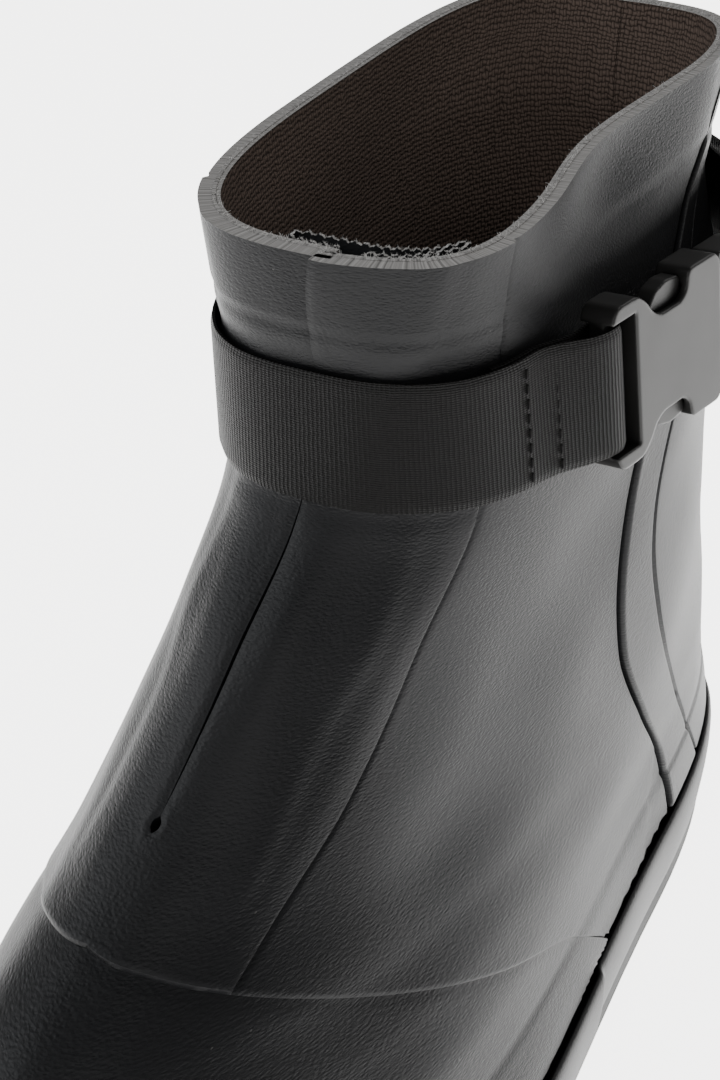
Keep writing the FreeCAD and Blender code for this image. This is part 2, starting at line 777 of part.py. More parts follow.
def make_buckle_female():
    """Female half: a bar for the webbing, a waist with two side openings, and a mouth."""
    body = new_body("buckle_female")
    length = size("female_length")
    wide = size("female_width") / 2
    waist = size("waist_width") / 2
    mouth = wide - 1
    upper = [V(0.8, wide - 1.6, 0), V(2.6, wide, 0), V(8.5, wide, 0), V(11.5, wide - 1.6, 0),
             V(13.5, wide - 4.5, 0), V(16, waist, 0), V(24.5, waist, 0), V(27, mouth - 3.2, 0),
             V(28, mouth, 0), V(length - 1.6, mouth, 0), V(length, mouth - 1.6, 0)]
    lower = [V(point.x, -point.y, 0) for point in reversed(upper)]
    outline = new_sketch(body, "female_outline", "XY_Plane")
    closed_outline(outline, upper + lower)
    pad_of(body, outline, "female_pad", "Dimensions.buckle_thickness", True)
    doc.recompute()
    before = body.Shape.Volume

    slot = new_sketch(body, "female_slot", "XY_Plane")
    rectangle(slot, "Dimensions.bar_length", "-Dimensions.web_width / 2 - 0.9",
              "Dimensions.bar_length + Dimensions.web_slot", "Dimensions.web_width / 2 + 0.9")
    pocket_through(body, slot, "female_slot_cut")

    cavity = new_sketch(body, "female_cavity", "XZ_Plane")
    rectangle(cavity, "Dimensions.cavity_start", "-Dimensions.cavity_height / 2",
              "Dimensions.female_length + 1", "Dimensions.cavity_height / 2")
    pocket_width(body, cavity, "female_cavity_cut", "Dimensions.cavity_width")

    window = new_sketch(body, "female_window", "XZ_Plane")
    rectangle(window, "Dimensions.window_start", "-Dimensions.cavity_height / 2",
              "Dimensions.window_end", "Dimensions.cavity_height / 2")
    pocket_width(body, window, "female_window_cut", "Dimensions.female_width + 4")

    for sign, low, high in ((1, "Dimensions.bar_thickness / 2", "Dimensions.buckle_thickness"),
                            (-1, "-Dimensions.buckle_thickness", "-Dimensions.bar_thickness / 2")):
        relief = new_sketch(body, "female_bar_relief_%s" % ("out" if sign > 0 else "in"), "XZ_Plane")
        rectangle(relief, "-1", low, "Dimensions.bar_length + 0.01", high)
        pocket_width(body, relief, relief.Name + "_cut", "Dimensions.web_width + 1.8")
    doc.recompute()
    print("buckle_female: %.0f mm3 cut from %.0f" % (before - body.Shape.Volume, before))
    body.Placement = BUCKLE_PLACE


def pocket_through(body, sketch, name):
    pocket = body.newObject("PartDesign::Pocket", name)
    pocket.Profile = sketch
    pocket.Type = "ThroughAll"
    pocket.Midplane = True
    sketch.Visibility = False


def pocket_width(body, sketch, name, width):
    """Pocket of a given width, half to each side of the sketch."""
    pocket = body.newObject("PartDesign::Pocket", name)
    pocket.Profile = sketch
    pocket.Midplane = True
    pocket.setExpression("Length", width)
    sketch.Visibility = False


MALE_START = size("female_length") + size("male_gap")


def make_buckle_male():
    """Male half: base with a slot and a bar for the webbing, and the centre guide."""
    body = new_body("buckle_male")
    half = size("male_width") / 2
    end = size("male_length")
    upper = [V(0, half, 0), V(end - 4, half, 0), V(end - 1, half - 1, 0), V(end, half - 4, 0)]
    lower = [V(point.x, -point.y, 0) for point in reversed(upper)]
    outline = new_sketch(body, "male_outline", "XY_Plane")
    closed_outline(outline, upper + lower)
    pad_of(body, outline, "male_pad", "Dimensions.male_thickness", True)
    guide = new_sketch(body, "male_guide", "XY_Plane")
    rectangle(guide, "-Dimensions.guide_length", "-Dimensions.guide_width / 2",
              "1", "Dimensions.guide_width / 2")
    pad_of(body, guide, "male_guide_pad", "Dimensions.prong_thickness", True)
    slot = new_sketch(body, "male_slot", "XY_Plane")
    rectangle(slot, "Dimensions.male_length - 3 - Dimensions.web_slot",
              "-Dimensions.web_width / 2 - 0.7", "Dimensions.male_length - 3",
              "Dimensions.web_width / 2 + 0.7")
    pocket_through(body, slot, "male_slot_cut")
    for sign, low, high in ((1, "1.5", "Dimensions.male_thickness"),
                            (-1, "-Dimensions.male_thickness", "-1.5")):
        relief = new_sketch(body, "male_bar_relief_%s" % ("out" if sign > 0 else "in"), "XZ_Plane")
        rectangle(relief, "Dimensions.male_length - 3.01", low, "Dimensions.male_length + 1", high)
        pocket_width(body, relief, relief.Name + "_cut", "Dimensions.web_width + 1.4")
    body.Placement = BUCKLE_PLACE.multiply(FreeCAD.Placement(V(MALE_START, 0, 0),
                                                             FreeCAD.Rotation()))


def make_prong(name, side):
    """Springy prong of the male half. Its shoulder locks behind the side opening."""
    body = new_body(name)
    root = MALE_START - 0.15
    lock = size("window_end") - 0.35
    points = [V(root, 6.6, 0), V(root, 10.4, 0), V(lock + 1, 11.2, 0), V(lock, 11.4, 0),
              V(lock, 14.2, 0), V(22, 14.8, 0), V(18, 13.8, 0), V(15.6, 11.4, 0),
              V(15.2, 9.2, 0), V(17, 7.8, 0), V(lock + 3, 7.6, 0)]
    points = [V(point.x, point.y * side, 0) for point in points]
    outline = new_sketch(body, name + "_outline", "XY_Plane")
    closed_outline(outline, points)
    pad_of(body, outline, name + "_pad", "Dimensions.prong_thickness", True)
    body.Placement = BUCKLE_PLACE


make_buckle_female()
make_buckle_male()
make_prong("prong_upper", 1)
make_prong("prong_lower", -1)

# ---------------------------------------------------------------- the strap


def on_wall(angle, offset):
    """Upper and lower edge of the webbing where it lies against the upper."""
    return (off_surface(angle, WEB_HIGH, offset), off_surface(angle, WEB_LOW, offset))


def on_buckle(along, outward):
    """Upper and lower edge of the webbing at a place in the buckle's frame."""
    half = size("web_width") / 2
    middle = BUCKLE_ORIGIN + BUCKLE_X * along + BUCKLE_Z * outward
    return (middle + BUCKLE_Y * half, middle - BUCKLE_Y * half)


def ribbon(stations):
    """Webbing whose middle surface passes through the stations, given by their two edges."""
    step = 1.6
    half = size("web_thickness") / 2
    curve = Part.BSplineCurve()
    curve.interpolate([(high + low) / 2 for high, low in stations])
    marks = [curve.parameter((high + low) / 2) for high, low in stations]
    middle = curve.discretize(Number=int(curve.length() / step))
    outer = []
    inner = []
    for point in middle:
        mark = curve.parameter(point)
        i = min(max(bisect.bisect(marks, mark) - 1, 0), len(marks) - 2)
        t = (mark - marks[i]) / (marks[i + 1] - marks[i])
        across = ((stations[i][0] - stations[i][1]) * (1 - t)
                  + (stations[i + 1][0] - stations[i + 1][1]) * t).normalize()
        out = across.cross(curve.tangent(mark)[0]).normalize() * half
        line = [point + across * (size("web_width") / 2 * k) for k in (-1, 0, 1)]
        outer.append([place + out for place in line])
        inner.append([place - out for place in line])
    return skin_solid(outer, inner)


def bar_turn(along, reach, start, end):
    """Stations on an arc round a buckle bar, between two directions in degrees."""
    stations = []
    for k in range(7):
        turned = math.radians(start + (end - start) * k / 6)
        stations.append(on_buckle(along + reach * math.cos(turned), reach * math.sin(turned)))
    return stations


def make_strap_front():
    """Webbing from the female bar round the front and the medial side to the back loop.

    Its sewn end turns round the bar and lies behind the first stretch."""
    middle = size("web_clear") + size("web_thickness") / 2
    reach = 2.75
    stations = [on_wall(45, middle), on_wall(50, middle), on_wall(55, middle)]
    stations += [on_buckle(-3.5, -2.6)]
    stations += bar_turn(size("bar_length") - 1, reach, -90, 90)
    stations += [on_buckle(-3.5, 1.6)]
    stations += [on_wall(55, middle + 1.9), on_wall(50, middle + 1.7), on_wall(45, middle + 1.6),
                 on_wall(39, middle + 1.3), on_wall(33, middle + 0.6)]
    stations += [on_wall(angle, middle) for angle in (25, 15, 5, -5, -15, -25, -35, -45, -58, -75,
                                                      -95, -115, -135, -150, -163, -172, -179)]
    return ribbon(stations)


def make_strap_rear():
    """Webbing from the back loop forward to the male bar, where it turns back as a tail.

    It is drawn in two lengths that meet end to end in the middle of the turn."""
    middle = size("web_clear") + size("web_thickness") / 2
    bar = MALE_START + size("male_length") - 1.5
    reach = 2.9
    inside = [on_wall(angle, middle) for angle in (180, 172, 164, 157, 150, 144)]
    inside += [on_buckle(bar + 9, -2.2), on_buckle(bar + 4.5, -2.8)]
    inside += bar_turn(bar, reach, -90, -180)
    outside = bar_turn(bar, reach, -180, -270)
    outside += [on_buckle(bar + 4.5, 2.8), on_buckle(bar + 9, 2.0)]
    outside += [on_wall(145, middle + 3.4), on_wall(149, middle + 2.9)]
    return Part.Compound([ribbon(inside), ribbon(outside)])


def make_strap_loop():
    """Rubber belt loop over the strap at the back, glued to the upper above and below it."""
    over = size("web_clear") + size("web_thickness") + 1.1
    half = size("loop_width") / 2

    def lift(height):
        inside = smooth((height - WEB_LOW + 5) / 4) * smooth((WEB_HIGH + 5 - height) / 4)
        return 0.08 + (over - 0.08) * inside
    grid = upright_grid(lambda z: shift_angle(180, z, -half), lambda z: shift_angle(180, z, half),
                        WEB_LOW - 11, WEB_HIGH + 11, 4, 30)
    return layer(grid, lambda angle, z: lift(z) + 1.2, lambda angle, z: lift(z))


def make_stitching():
    """Two rows of thread on the outside of the webbing, just before the buckle."""
    middle = size("web_clear") + size("web_thickness") / 2
    stitches = []
    for angle, offset in ((50.5, middle + 2.2), (56.5, middle + 3.0)):
        high, low = on_wall(angle, offset + size("web_thickness") / 2 + 0.2)
        across = high - low
        count = 7
        for k in range(count):
            start = low + across * (0.09 + 0.84 * k / count)
            run = across * (0.84 / count * 0.72)
            stitches.append(Part.makeCylinder(0.35, run.Length, start, across))
    return Part.Compound(stitches)


add_feature("strap_front", make_strap_front())
add_feature("strap_rear", make_strap_rear())
add_feature("strap_loop", make_strap_loop())
add_feature("strap_stitching", make_stitching())

# ---------------------------------------------------------------- checks and export

doc.removeObject(scratch.Name)
doc.recompute()
failed = [item.Name for item in doc.Objects if "Invalid" in item.State or "Error" in item.State]
if failed:
    raise RuntimeError("failed objects: " + ", ".join(failed))

parts = [item for item in doc.Objects
         if item.TypeId == "PartDesign::Body" or item.TypeId == "Part::Feature"]
for part in parts:
    if part.Shape.isNull() or not part.Shape.isValid():
        raise RuntimeError("bad shape: " + part.Label)
    if part.Shape.Volume <= 0:
        raise RuntimeError("no volume: " + part.Label)

os.makedirs("parts", exist_ok=True)
box = FreeCAD.BoundBox()
for part in parts:
    part.Shape.exportStep("parts/%s.step" % part.Label)
    box.add(part.Shape.BoundBox)
print("%d parts, box x %.1f..%.1f y %.1f..%.1f z %.1f..%.1f" % (
    len(parts), box.XMin, box.XMax, box.YMin, box.YMax, box.ZMin, box.ZMax))
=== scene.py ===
import functools
import math
import random

import bmesh
import bpy
import numpy as np
from mathutils import Matrix, Vector


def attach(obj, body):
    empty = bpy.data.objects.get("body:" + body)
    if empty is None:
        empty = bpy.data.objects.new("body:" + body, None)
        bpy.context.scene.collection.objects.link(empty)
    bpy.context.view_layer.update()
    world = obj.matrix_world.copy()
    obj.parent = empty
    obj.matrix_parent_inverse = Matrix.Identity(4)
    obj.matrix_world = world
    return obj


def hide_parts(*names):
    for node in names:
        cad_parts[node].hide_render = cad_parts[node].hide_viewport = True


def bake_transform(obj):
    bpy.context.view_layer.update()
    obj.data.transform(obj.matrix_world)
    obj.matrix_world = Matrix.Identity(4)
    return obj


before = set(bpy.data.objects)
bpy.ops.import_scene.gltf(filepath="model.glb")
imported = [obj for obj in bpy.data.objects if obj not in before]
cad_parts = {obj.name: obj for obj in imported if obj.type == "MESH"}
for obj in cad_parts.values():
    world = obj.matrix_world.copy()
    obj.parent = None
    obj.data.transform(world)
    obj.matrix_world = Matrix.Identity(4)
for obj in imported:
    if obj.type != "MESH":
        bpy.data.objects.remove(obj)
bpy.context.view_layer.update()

MM = 0.001

# ---------------------------------------------------------------- the boot's surface, in mm
# The same lines as the CAD model: height, front, back, middles, half widths and squareness.
SECTIONS = np.array([
    (0, -126, 162, -1, 0, 49, 35, 2.4, 2.5),
    (14, -129, 166, -1, 0, 51, 37, 2.4, 2.6),
    (28, -129, 167, -1, 0, 52, 38, 2.3, 2.6),
    (40, -126, 165, -1, 1, 50, 38, 2.2, 2.5),
    (52, -120, 162, -1, 1, 48, 38, 2.1, 2.5),
    (64, -110, 158, -3, 2, 46, 38, 2.0, 2.4),
    (76, -95, 154, -5, 2, 43, 38, 2.0, 2.4),
    (88, -74, 149, -5, 2, 40, 38, 2.0, 2.4),
    (104, -51, 144, -4, 2, 38, 38, 2.1, 2.4),
    (128, -28, 140, -1, 2, 36, 38, 2.2, 2.3),
    (153, -8, 139, 2, 2, 36, 38, 2.6, 2.3),
    (178, -5, 142, 0, -3, 34.5, 36, 3.0, 2.5),
    (200, -2.7, 154, -1.5, -7, 39, 34.5, 3.1, 4.2),
])
SLIT_LINE = [(12, -4), (104, -4), (150, -4), (180, 2), (200, 7)]
FRONT_PANEL_EDGE = [(80, 31), (92, 34), (106, 38.5), (121, 41), (152, 42.5), (178, 49), (200, 50)]
STRIP_FRONT_EDGE = [(12, 121), (31, 120), (48, 117.5), (73, 108.5), (94, 99), (110, 94), (127, 91),
                    (145, 88.5), (162, 93), (170, 100), (178, 110.5), (188, 124), (200, 132)]
STRIP_BACK_EDGE = [(12, 132), (31, 129), (65, 119.5), (94, 108), (115, 101), (127, 99), (142, 98),
                   (162, 101.5), (170, 107.5), (178, 117), (188, 129.5), (200, 137)]
BACKING_EDGE = [(88, 25), (95, 26), (117, 27), (131, 31.5), (152, 30), (190, 34), (200, 36)]
VAMP_EDGE = [(0, 89.5), (17, 87.8), (27, 86), (37, 83.5), (50, 79), (66, 70.5), (82, 59),
             (95.5, 46), (103.5, 32.5), (107, 25)]
VAMP_CREST = -5
VAMP_END = 106.5
FRAME_SHIFT = np.array([0.05, -18.75, 0])
RIM = 200.0
FLOOR_OF_UPPER = 12.0
RAND_TOP = 41.5
COLLAR_LINE = 187.0
HOLE = 104.0
HOLE_RADIUS = 0.95
GROOVE = 1.3            # open groove in front of a side strip, up to the collar band
BACK_GROOVE = 2.2       # the same behind the strip
SLIT_FOOT = -4.0        # angle where the slit's line meets the vamp
EDGE_FLOOR = 84.0       # below this height the front panel's side edges no longer widen
FLAP_START = 174.0      # the lateral flap laps over the medial one above this height
FLAP_RUN = 25.0
SKIN = 1.5


class Curve:
    """A smooth curve through (x, y) pairs that never overshoots between them."""

    def __init__(self, pairs):
        self.xs, self.ys = np.array(pairs, float).T
        steps = np.diff(self.xs)
        slopes = np.diff(self.ys) / steps
        self.tangents = np.concatenate([[slopes[0]], np.zeros(len(slopes) - 1), [slopes[-1]]])
        for k in range(1, len(slopes)):
            before, after = slopes[k - 1], slopes[k]
            if before * after > 0:
                weight_1 = 2 * steps[k] + steps[k - 1]
                weight_2 = steps[k] + 2 * steps[k - 1]
                self.tangents[k] = (weight_1 + weight_2) / (weight_1 / before + weight_2 / after)

    def __call__(self, x):
        x = np.asarray(x, float)
        i = np.clip(np.searchsorted(self.xs, x, side="right") - 1, 0, len(self.xs) - 2)
        step = self.xs[i + 1] - self.xs[i]
        t = (x - self.xs[i]) / step
        start = (1 + 2 * t) * (1 - t) ** 2 * self.ys[i] + t * (1 - t) ** 2 * step * self.tangents[i]
        end = t * t * (3 - 2 * t) * self.ys[i + 1] - t * t * (1 - t) * step * self.tangents[i + 1]
        return start + end


def smooth(t):
    """0 to 1 with soft ends."""
    t = np.clip(t, 0.0, 1.0)
    return t * t * (3 - 2 * t)


def bump(distance, width):
    return np.exp(-(distance / width) ** 2)


section_curves = [Curve(SECTIONS[:, (0, k)]) for k in range(1, 9)]
slit_line = Curve(SLIT_LINE)
front_edge = Curve(FRONT_PANEL_EDGE)
strip_front = Curve(STRIP_FRONT_EDGE)
strip_back = Curve(STRIP_BACK_EDGE)
backing_edge = Curve(BACKING_EDGE)
vamp_edge = Curve(VAMP_EDGE)


def upper(angle, height):
    """Points of the boot's outer surface. Angle 0 is the front, 90 the lateral side."""
    angle, height = np.broadcast_arrays(np.asarray(angle, float), np.asarray(height, float))
    front, back, mid_front, mid_back, half_front, half_back, square_front, square_back = [
        curve(height) for curve in section_curves]
    c = np.cos(np.radians(angle))
    s = np.sin(np.radians(angle))
    n = np.where(c > 0, square_front, square_back)
    k = (np.abs(c) ** n + np.abs(s) ** n) ** (-1 / n)
    y = (front + back) / 2 - (back - front) / 2 * c * k
    heel = smooth(((y - front) / (back - front) - 0.25) / 0.5)
    middle = mid_front + (mid_back - mid_front) * heel
    half = half_front + (half_back - half_front) * heel
    x = middle + half * s * k - 7 * smooth((-y - 30) / 110)
    turn = (angle + 180) % 360 - 180
    x = x - 12 * bump(turn - 79, 29) * bump(height - RIM, 18)
    return np.stack([x, y, height], -1) + FRAME_SHIFT


def unit(v):
    return v / np.maximum(np.linalg.norm(v, axis=-1, keepdims=True), 1e-9)


def upper_normal(angle, height):
    angle, height = np.broadcast_arrays(np.asarray(angle, float), np.asarray(height, float))
    around = upper(angle + 0.5, height) - upper(angle - 0.5, height)
    upward = upper(angle, height + 0.5) - upper(angle, height - 0.5)
    normal = unit(np.cross(around, upward))
    normal[..., 2] *= 1 - smooth((height - RIM + 14) / 10)
    return unit(normal)


def off(angle, height, offset):
    offset = np.asarray(offset, float)
    return upper(angle, height) + upper_normal(angle, height) * offset[..., None]


def per_degree(angle, height):
    """Millimetres round the boot for one degree."""
    step = upper(np.asarray(angle) + 0.5, height) - upper(np.asarray(angle) - 0.5, height)
    return np.linalg.norm(step, axis=-1)


def shifted(angle, height, distance):
    return angle + distance / per_degree(angle, height)


def vamp_height(angle):
    return vamp_edge(np.abs(angle - VAMP_CREST))


# ---------------------------------------------------------------- mesh helpers

def linked(name, data):
    """New object for a mesh, light or camera, in the scene."""
    obj = bpy.data.objects.new(name, data)
    bpy.context.scene.collection.objects.link(obj)
    return obj


def spaced(length, fine, coarse, reach, ends=(True, True), marks=(), mark_reach=1.5):
    """Values from 0 to 1, fine near the chosen ends and marks, coarse between them."""
    places = [0.0]
    while places[-1] < length:
        here = places[-1]
        gaps = [abs(here - mark) - mark_reach for mark in marks]
        if ends[0]:
            gaps.append(here - reach)
        if ends[1]:
            gaps.append(length - reach - here)
        nearest = max(min(gaps), 0) if gaps else 1e9
        places.append(here + min(fine + nearest * 0.35, coarse))
    return np.array(places) / places[-1]


def quads(columns, rows, start=0, flip=False, wrap=False):
    """Faces of a grid whose points are stored column by column."""
    i = np.arange(columns if wrap else columns - 1)
    j = np.arange(rows - 1)
    a = start + i[:, None] * rows + j[None, :]
    b = start + ((i[:, None] + 1) % columns) * rows + j[None, :]
    faces = np.stack([a, b, b + 1, a + 1], -1).reshape(-1, 4)
    return faces[:, ::-1] if flip else faces


def tube_faces(first, rings, around):
    """Faces of a tube whose points are stored ring by ring."""
    faces = []
    for ring in range(rings - 1):
        for corner in range(around):
            a = first + ring * around + corner
            b = first + ring * around + (corner + 1) % around
            faces.append((a, b, b + around, a + around))
    return faces


def make_object(name, points, faces, materials, face_material=None, coords=None, sharp=35):
    """Mesh from points in mm. coords become the attribute that the materials are laid out by."""
    mesh = bpy.data.meshes.new(name)
    points = np.asarray(points, float).reshape(-1, 3) * MM
    mesh.from_pydata(points.tolist(), [], [list(map(int, face)) for face in faces])
    for material in materials:
        mesh.materials.append(material)
    if face_material is not None:
        mesh.polygons.foreach_set("material_index", np.asarray(face_material, np.int32))
    if coords is not None:
        layer = mesh.attributes.new("layout", "FLOAT_VECTOR", "POINT")
        flat = np.asarray(coords, np.float32).reshape(-1, 3)
        layer.data.foreach_set("vector", flat.ravel())
    mesh.validate()
    mesh.update()
    mesh.shade_smooth()
    mesh.set_sharp_from_angle(angle=math.radians(sharp))
    return linked(name, mesh)


def wall(line, count):
    """Faces between a line of points and the same line count points on."""
    return np.stack([line[1:], line[:-1], line[:-1] + count, line[1:] + count], -1)


def closed_sheet(name, outer, inner, materials, coords, raw_sides=(), sharp=35):
    """Closed mesh between an outer and an inner grid of points.

    raw_sides are the sides (first, last, low, high) that show the second material."""
    columns, rows = outer.shape[:2]
    count = columns * rows
    faces = [quads(columns, rows), quads(columns, rows, count, flip=True)]
    kinds = [np.zeros(len(faces[0])), np.zeros(len(faces[1]))]
    index = np.arange(count).reshape(columns, rows)
    borders = {"first": index[0][::-1], "last": index[-1], "low": index[:, 0],
               "high": index[::-1, -1]}
    for side, line in borders.items():
        faces.append(wall(line, count))
        kinds.append(np.full(len(line) - 1, 1 if side in raw_sides else 0))
    points = np.concatenate([outer.reshape(-1, 3), inner.reshape(-1, 3)])
    both = np.concatenate([coords.reshape(-1, 3), coords.reshape(-1, 3)])
    return make_object(name, points, np.concatenate(faces), materials,
                       np.concatenate(kinds) if len(materials) > 1 else None, both, sharp)


def layout(angle, height):
    """Millimetres along and up, for the grain and the weave."""
    half = np.linspace(-180, 360, 541)
    girth = np.concatenate([[0], np.cumsum(np.linalg.norm(np.diff(upper(half, 120), axis=0),
                                                          axis=-1))])
    return np.stack([np.interp(angle, half, girth), height, np.zeros_like(height)], -1)


def patch(bottom, top, left, right, s, t):
    """(angle, height) grid inside four lines. Each line is a function of 0 to 1."""
    s = s[:, None]
    t = t[None, :]

    def both(line, value):
        angle, height = line(value)
        return np.stack(np.broadcast_arrays(angle, height), -1)
    low, high = both(bottom, s), both(top, s)
    first, last = both(left, t), both(right, t)
    c = [both(bottom, np.array([[0.0]])), both(bottom, np.array([[1.0]])),
         both(top, np.array([[0.0]])), both(top, np.array([[1.0]]))]
    s, t = s[..., None], t[..., None]
    corners = (c[0] * (1 - s) + c[1] * s) * (1 - t) + (c[2] * (1 - s) + c[3] * s) * t
    grid = low * (1 - t) + high * t + first * (1 - s) + last * s - corners
    return grid[..., 0], grid[..., 1]


# ---------------------------------------------------------------- materials

def material(name, colour, roughness, **sockets):
    """Principled material with its node tree, ready for more nodes."""
    made = bpy.data.materials.new(name)
    made.use_nodes = True
    tree = made.node_tree
    shader = tree.nodes["Principled BSDF"]
    shader.inputs["Base Color"].default_value = (*colour, 1)
    shader.inputs["Roughness"].default_value = roughness
    for socket, value in sockets.items():
        shader.inputs[socket.replace("_", " ")].default_value = value
    made.diffuse_color = (*colour, 1)
    return made, tree, shader


def node(tree, kind, **values):
    made = tree.nodes.new(kind)
    for key, value in values.items():
        if hasattr(made, key):
            setattr(made, key, value)
        else:
            made.inputs[key.replace("_", " ")].default_value = value
    return made


def math_node(tree, operation, a, b=None):
    made = tree.nodes.new("ShaderNodeMath")
    made.operation = operation
    for socket, value in zip(made.inputs, (a, b)):
        if value is None:
            continue
        if isinstance(value, (int, float)):
            socket.default_value = value
        else:
            tree.links.new(value, socket)
    return made.outputs[0]


def arithmetic(tree):
    """Sum and product of two values, as nodes of this tree."""
    return functools.partial(math_node, tree, "ADD"), functools.partial(math_node, tree, "MULTIPLY")


def coordinates(tree, scale, attribute="layout"):
    """The layout attribute in mm, scaled, or the object's own place where there is none."""
    mapping = tree.nodes.new("ShaderNodeMapping")
    mapping.inputs["Scale"].default_value = scale
    if attribute:
        source = node(tree, "ShaderNodeAttribute", attribute_name=attribute)
        tree.links.new(source.outputs["Vector"], mapping.inputs["Vector"])
    else:
        source = tree.nodes.new("ShaderNodeTexCoord")
        tree.links.new(source.outputs["Object"], mapping.inputs["Vector"])
    return mapping.outputs["Vector"]


def noise(tree, vector, scale, detail=3.0, rough=0.5):
    made = node(tree, "ShaderNodeTexNoise", Scale=scale, Detail=detail, Roughness=rough)
    tree.links.new(vector, made.inputs["Vector"])
    return made.outputs["Fac"]


def ramp(tree, value, stops):
    """Colour ramp: stops are (position, colour or grey)."""
    made = tree.nodes.new("ShaderNodeValToRGB")
    elements = made.color_ramp.elements
    while len(elements) < len(stops):
        elements.new(0.5)
    for element, (position, colour) in zip(elements, stops):
        element.position = position
        element.color = (*colour, 1) if hasattr(colour, "__len__") else (colour,) * 3 + (1,)
    tree.links.new(value, made.inputs["Fac"])
    return made.outputs["Color"]


def add_bump(tree, shader, height, strength, distance):
    made = node(tree, "ShaderNodeBump", Strength=strength, Distance=distance)
    tree.links.new(height, made.inputs["Height"])
    previous = shader.inputs["Normal"].links
    if previous:
        tree.links.new(previous[0].from_socket, made.inputs["Normal"])
    tree.links.new(made.outputs["Normal"], shader.inputs["Normal"])


def rubber(name, colour, roughness, grain=1.0, attribute="layout", unit_scale=1.0):
    """Satin rubber with a fine leather-like grain, dust specks and uneven gloss."""
    made, tree, shader = material(name, colour, roughness, Specular_IOR_Level=0.15)
    plus, times = arithmetic(tree)
    k = unit_scale
    fine = coordinates(tree, (1.25 * k, 2.7 * k, 1.6 * k), attribute)
    wrinkles = noise(tree, fine, 1.0, 4.0, 0.6)
    cells = node(tree, "ShaderNodeTexVoronoi", feature="F1", Scale=0.85, Randomness=1.0)
    tree.links.new(fine, cells.inputs["Vector"])
    cell = math_node(tree, "SMOOTH_MIN", cells.outputs["Distance"], 0.75)
    height = plus(times(wrinkles, 1.1), cell)
    add_bump(tree, shader, height, 0.42 * grain, 0.00022)
    broad = noise(tree, coordinates(tree, (0.03 * k, 0.03 * k, 0.03 * k), attribute), 1.0, 3.0)
    rough = plus(roughness - 0.09, plus(times(broad, 0.12), times(wrinkles, 0.06)))
    tree.links.new(rough, shader.inputs["Roughness"])
    specks = node(tree, "ShaderNodeTexVoronoi", feature="F1", Scale=0.16, Randomness=1.0)
    tree.links.new(coordinates(tree, (k, k, k), attribute), specks.inputs["Vector"])
    dust = math_node(tree, "LESS_THAN", specks.outputs["Distance"], 0.028)
    mix = node(tree, "ShaderNodeMix", data_type="RGBA")
    tree.links.new(times(dust, 0.35), mix.inputs["Factor"])
    tint = ramp(tree, broad, [(0.3, tuple(c * 0.85 for c in colour)),
                              (0.7, tuple(c * 1.2 for c in colour))])
    tree.links.new(tint, mix.inputs["A"])
    mix.inputs["B"].default_value = (0.08, 0.078, 0.075, 1)
    tree.links.new(mix.outputs["Result"], shader.inputs["Base Color"])
    return made


def woven(name, dark, light, pitch, roughness, depth, rib=False, **sockets):
    """Cloth of crossing threads, laid out in mm by the layout attribute. Its colour carries painted
    shade and highlight: dark in the valleys between threads, light on their crests.
    """
    made, tree, shader = material(name, dark, roughness, **sockets)
    plus, times = arithmetic(tree)

    def wave(value):
        return math_node(tree, "ABSOLUTE", math_node(tree, "SINE", value))
    place = coordinates(tree, (1, 1, 1))
    wobble = noise(tree, place, 0.35, 2.0)
    split = tree.nodes.new("ShaderNodeSeparateXYZ")
    tree.links.new(place, split.inputs[0])
    turn = 2 * math.pi / pitch
    shift = times(wobble, (0.5 if rib else 1.6) * pitch)
    u = times(plus(split.outputs[0], shift), turn / 2)
    v = times(plus(split.outputs[1], shift), turn / 2)
    if rib:
        ribs = wave(u)
        fine = wave(times(v, 2.1))
        height = plus(times(ribs, 0.65), times(fine, 0.4))
    else:
        over = wave(u)
        under = wave(v)
        checks = times(math_node(tree, "SINE", u), math_node(tree, "SINE", v))
        pick = math_node(tree, "GREATER_THAN", checks, 0.0)
        keep = math_node(tree, "SUBTRACT", 1.0, pick)
        height = plus(times(over, pick), times(under, keep))
        height = times(height, plus(0.55, times(under, 0.45)))
    fuzz = noise(tree, place, 5.0, 3.0)
    height = plus(height, times(fuzz, 0.35))
    add_bump(tree, shader, height, 0.8, depth)
    # Painted shade and highlight: the colour follows thread height, from the first colour in the valleys
    # to the second on the crests, with a random tone from the wobble.
    painted_thread_shade = times(height, plus(0.55, times(wobble, 0.6)))
    tree.links.new(ramp(tree, painted_thread_shade, [(0.1, dark), (0.85, light)]), shader.inputs["Base Color"])
    return made


def fibrous(name, dark, light, scale):
    """Raw cut edge: cloth ends and cut rubber in mottled greys."""
    made, tree, shader = material(name, light, 0.8)
    place = coordinates(tree, (1, 1, 1))
    mottle = noise(tree, place, scale, 4.0, 0.7)
    tree.links.new(ramp(tree, mottle, [(0.35, dark), (0.62, light)]), shader.inputs["Base Color"])
    add_bump(tree, shader, mottle, 0.7, 0.0003)
    return made


def plastic(name, colour, roughness):
    """Moulded plastic with a very fine spark texture."""
    made, tree, shader = material(name, colour, roughness, Specular_IOR_Level=0.22)
    place = coordinates(tree, (1000, 1000, 1000), None)
    spark = noise(tree, place, 3.0, 2.0)
    add_bump(tree, shader, spark, 0.12, 0.0001)
    broad = noise(tree, place, 0.12, 2.0)
    plus, times = arithmetic(tree)
    rough = plus(roughness - 0.06, times(broad, 0.12))
    tree.links.new(rough, shader.inputs["Roughness"])
    tree.links.new(ramp(tree, broad, [(0.3, tuple(c * 0.88 for c in colour)),
                                      (0.7, tuple(c * 1.12 for c in colour))]),
                   shader.inputs["Base Color"])
    return made


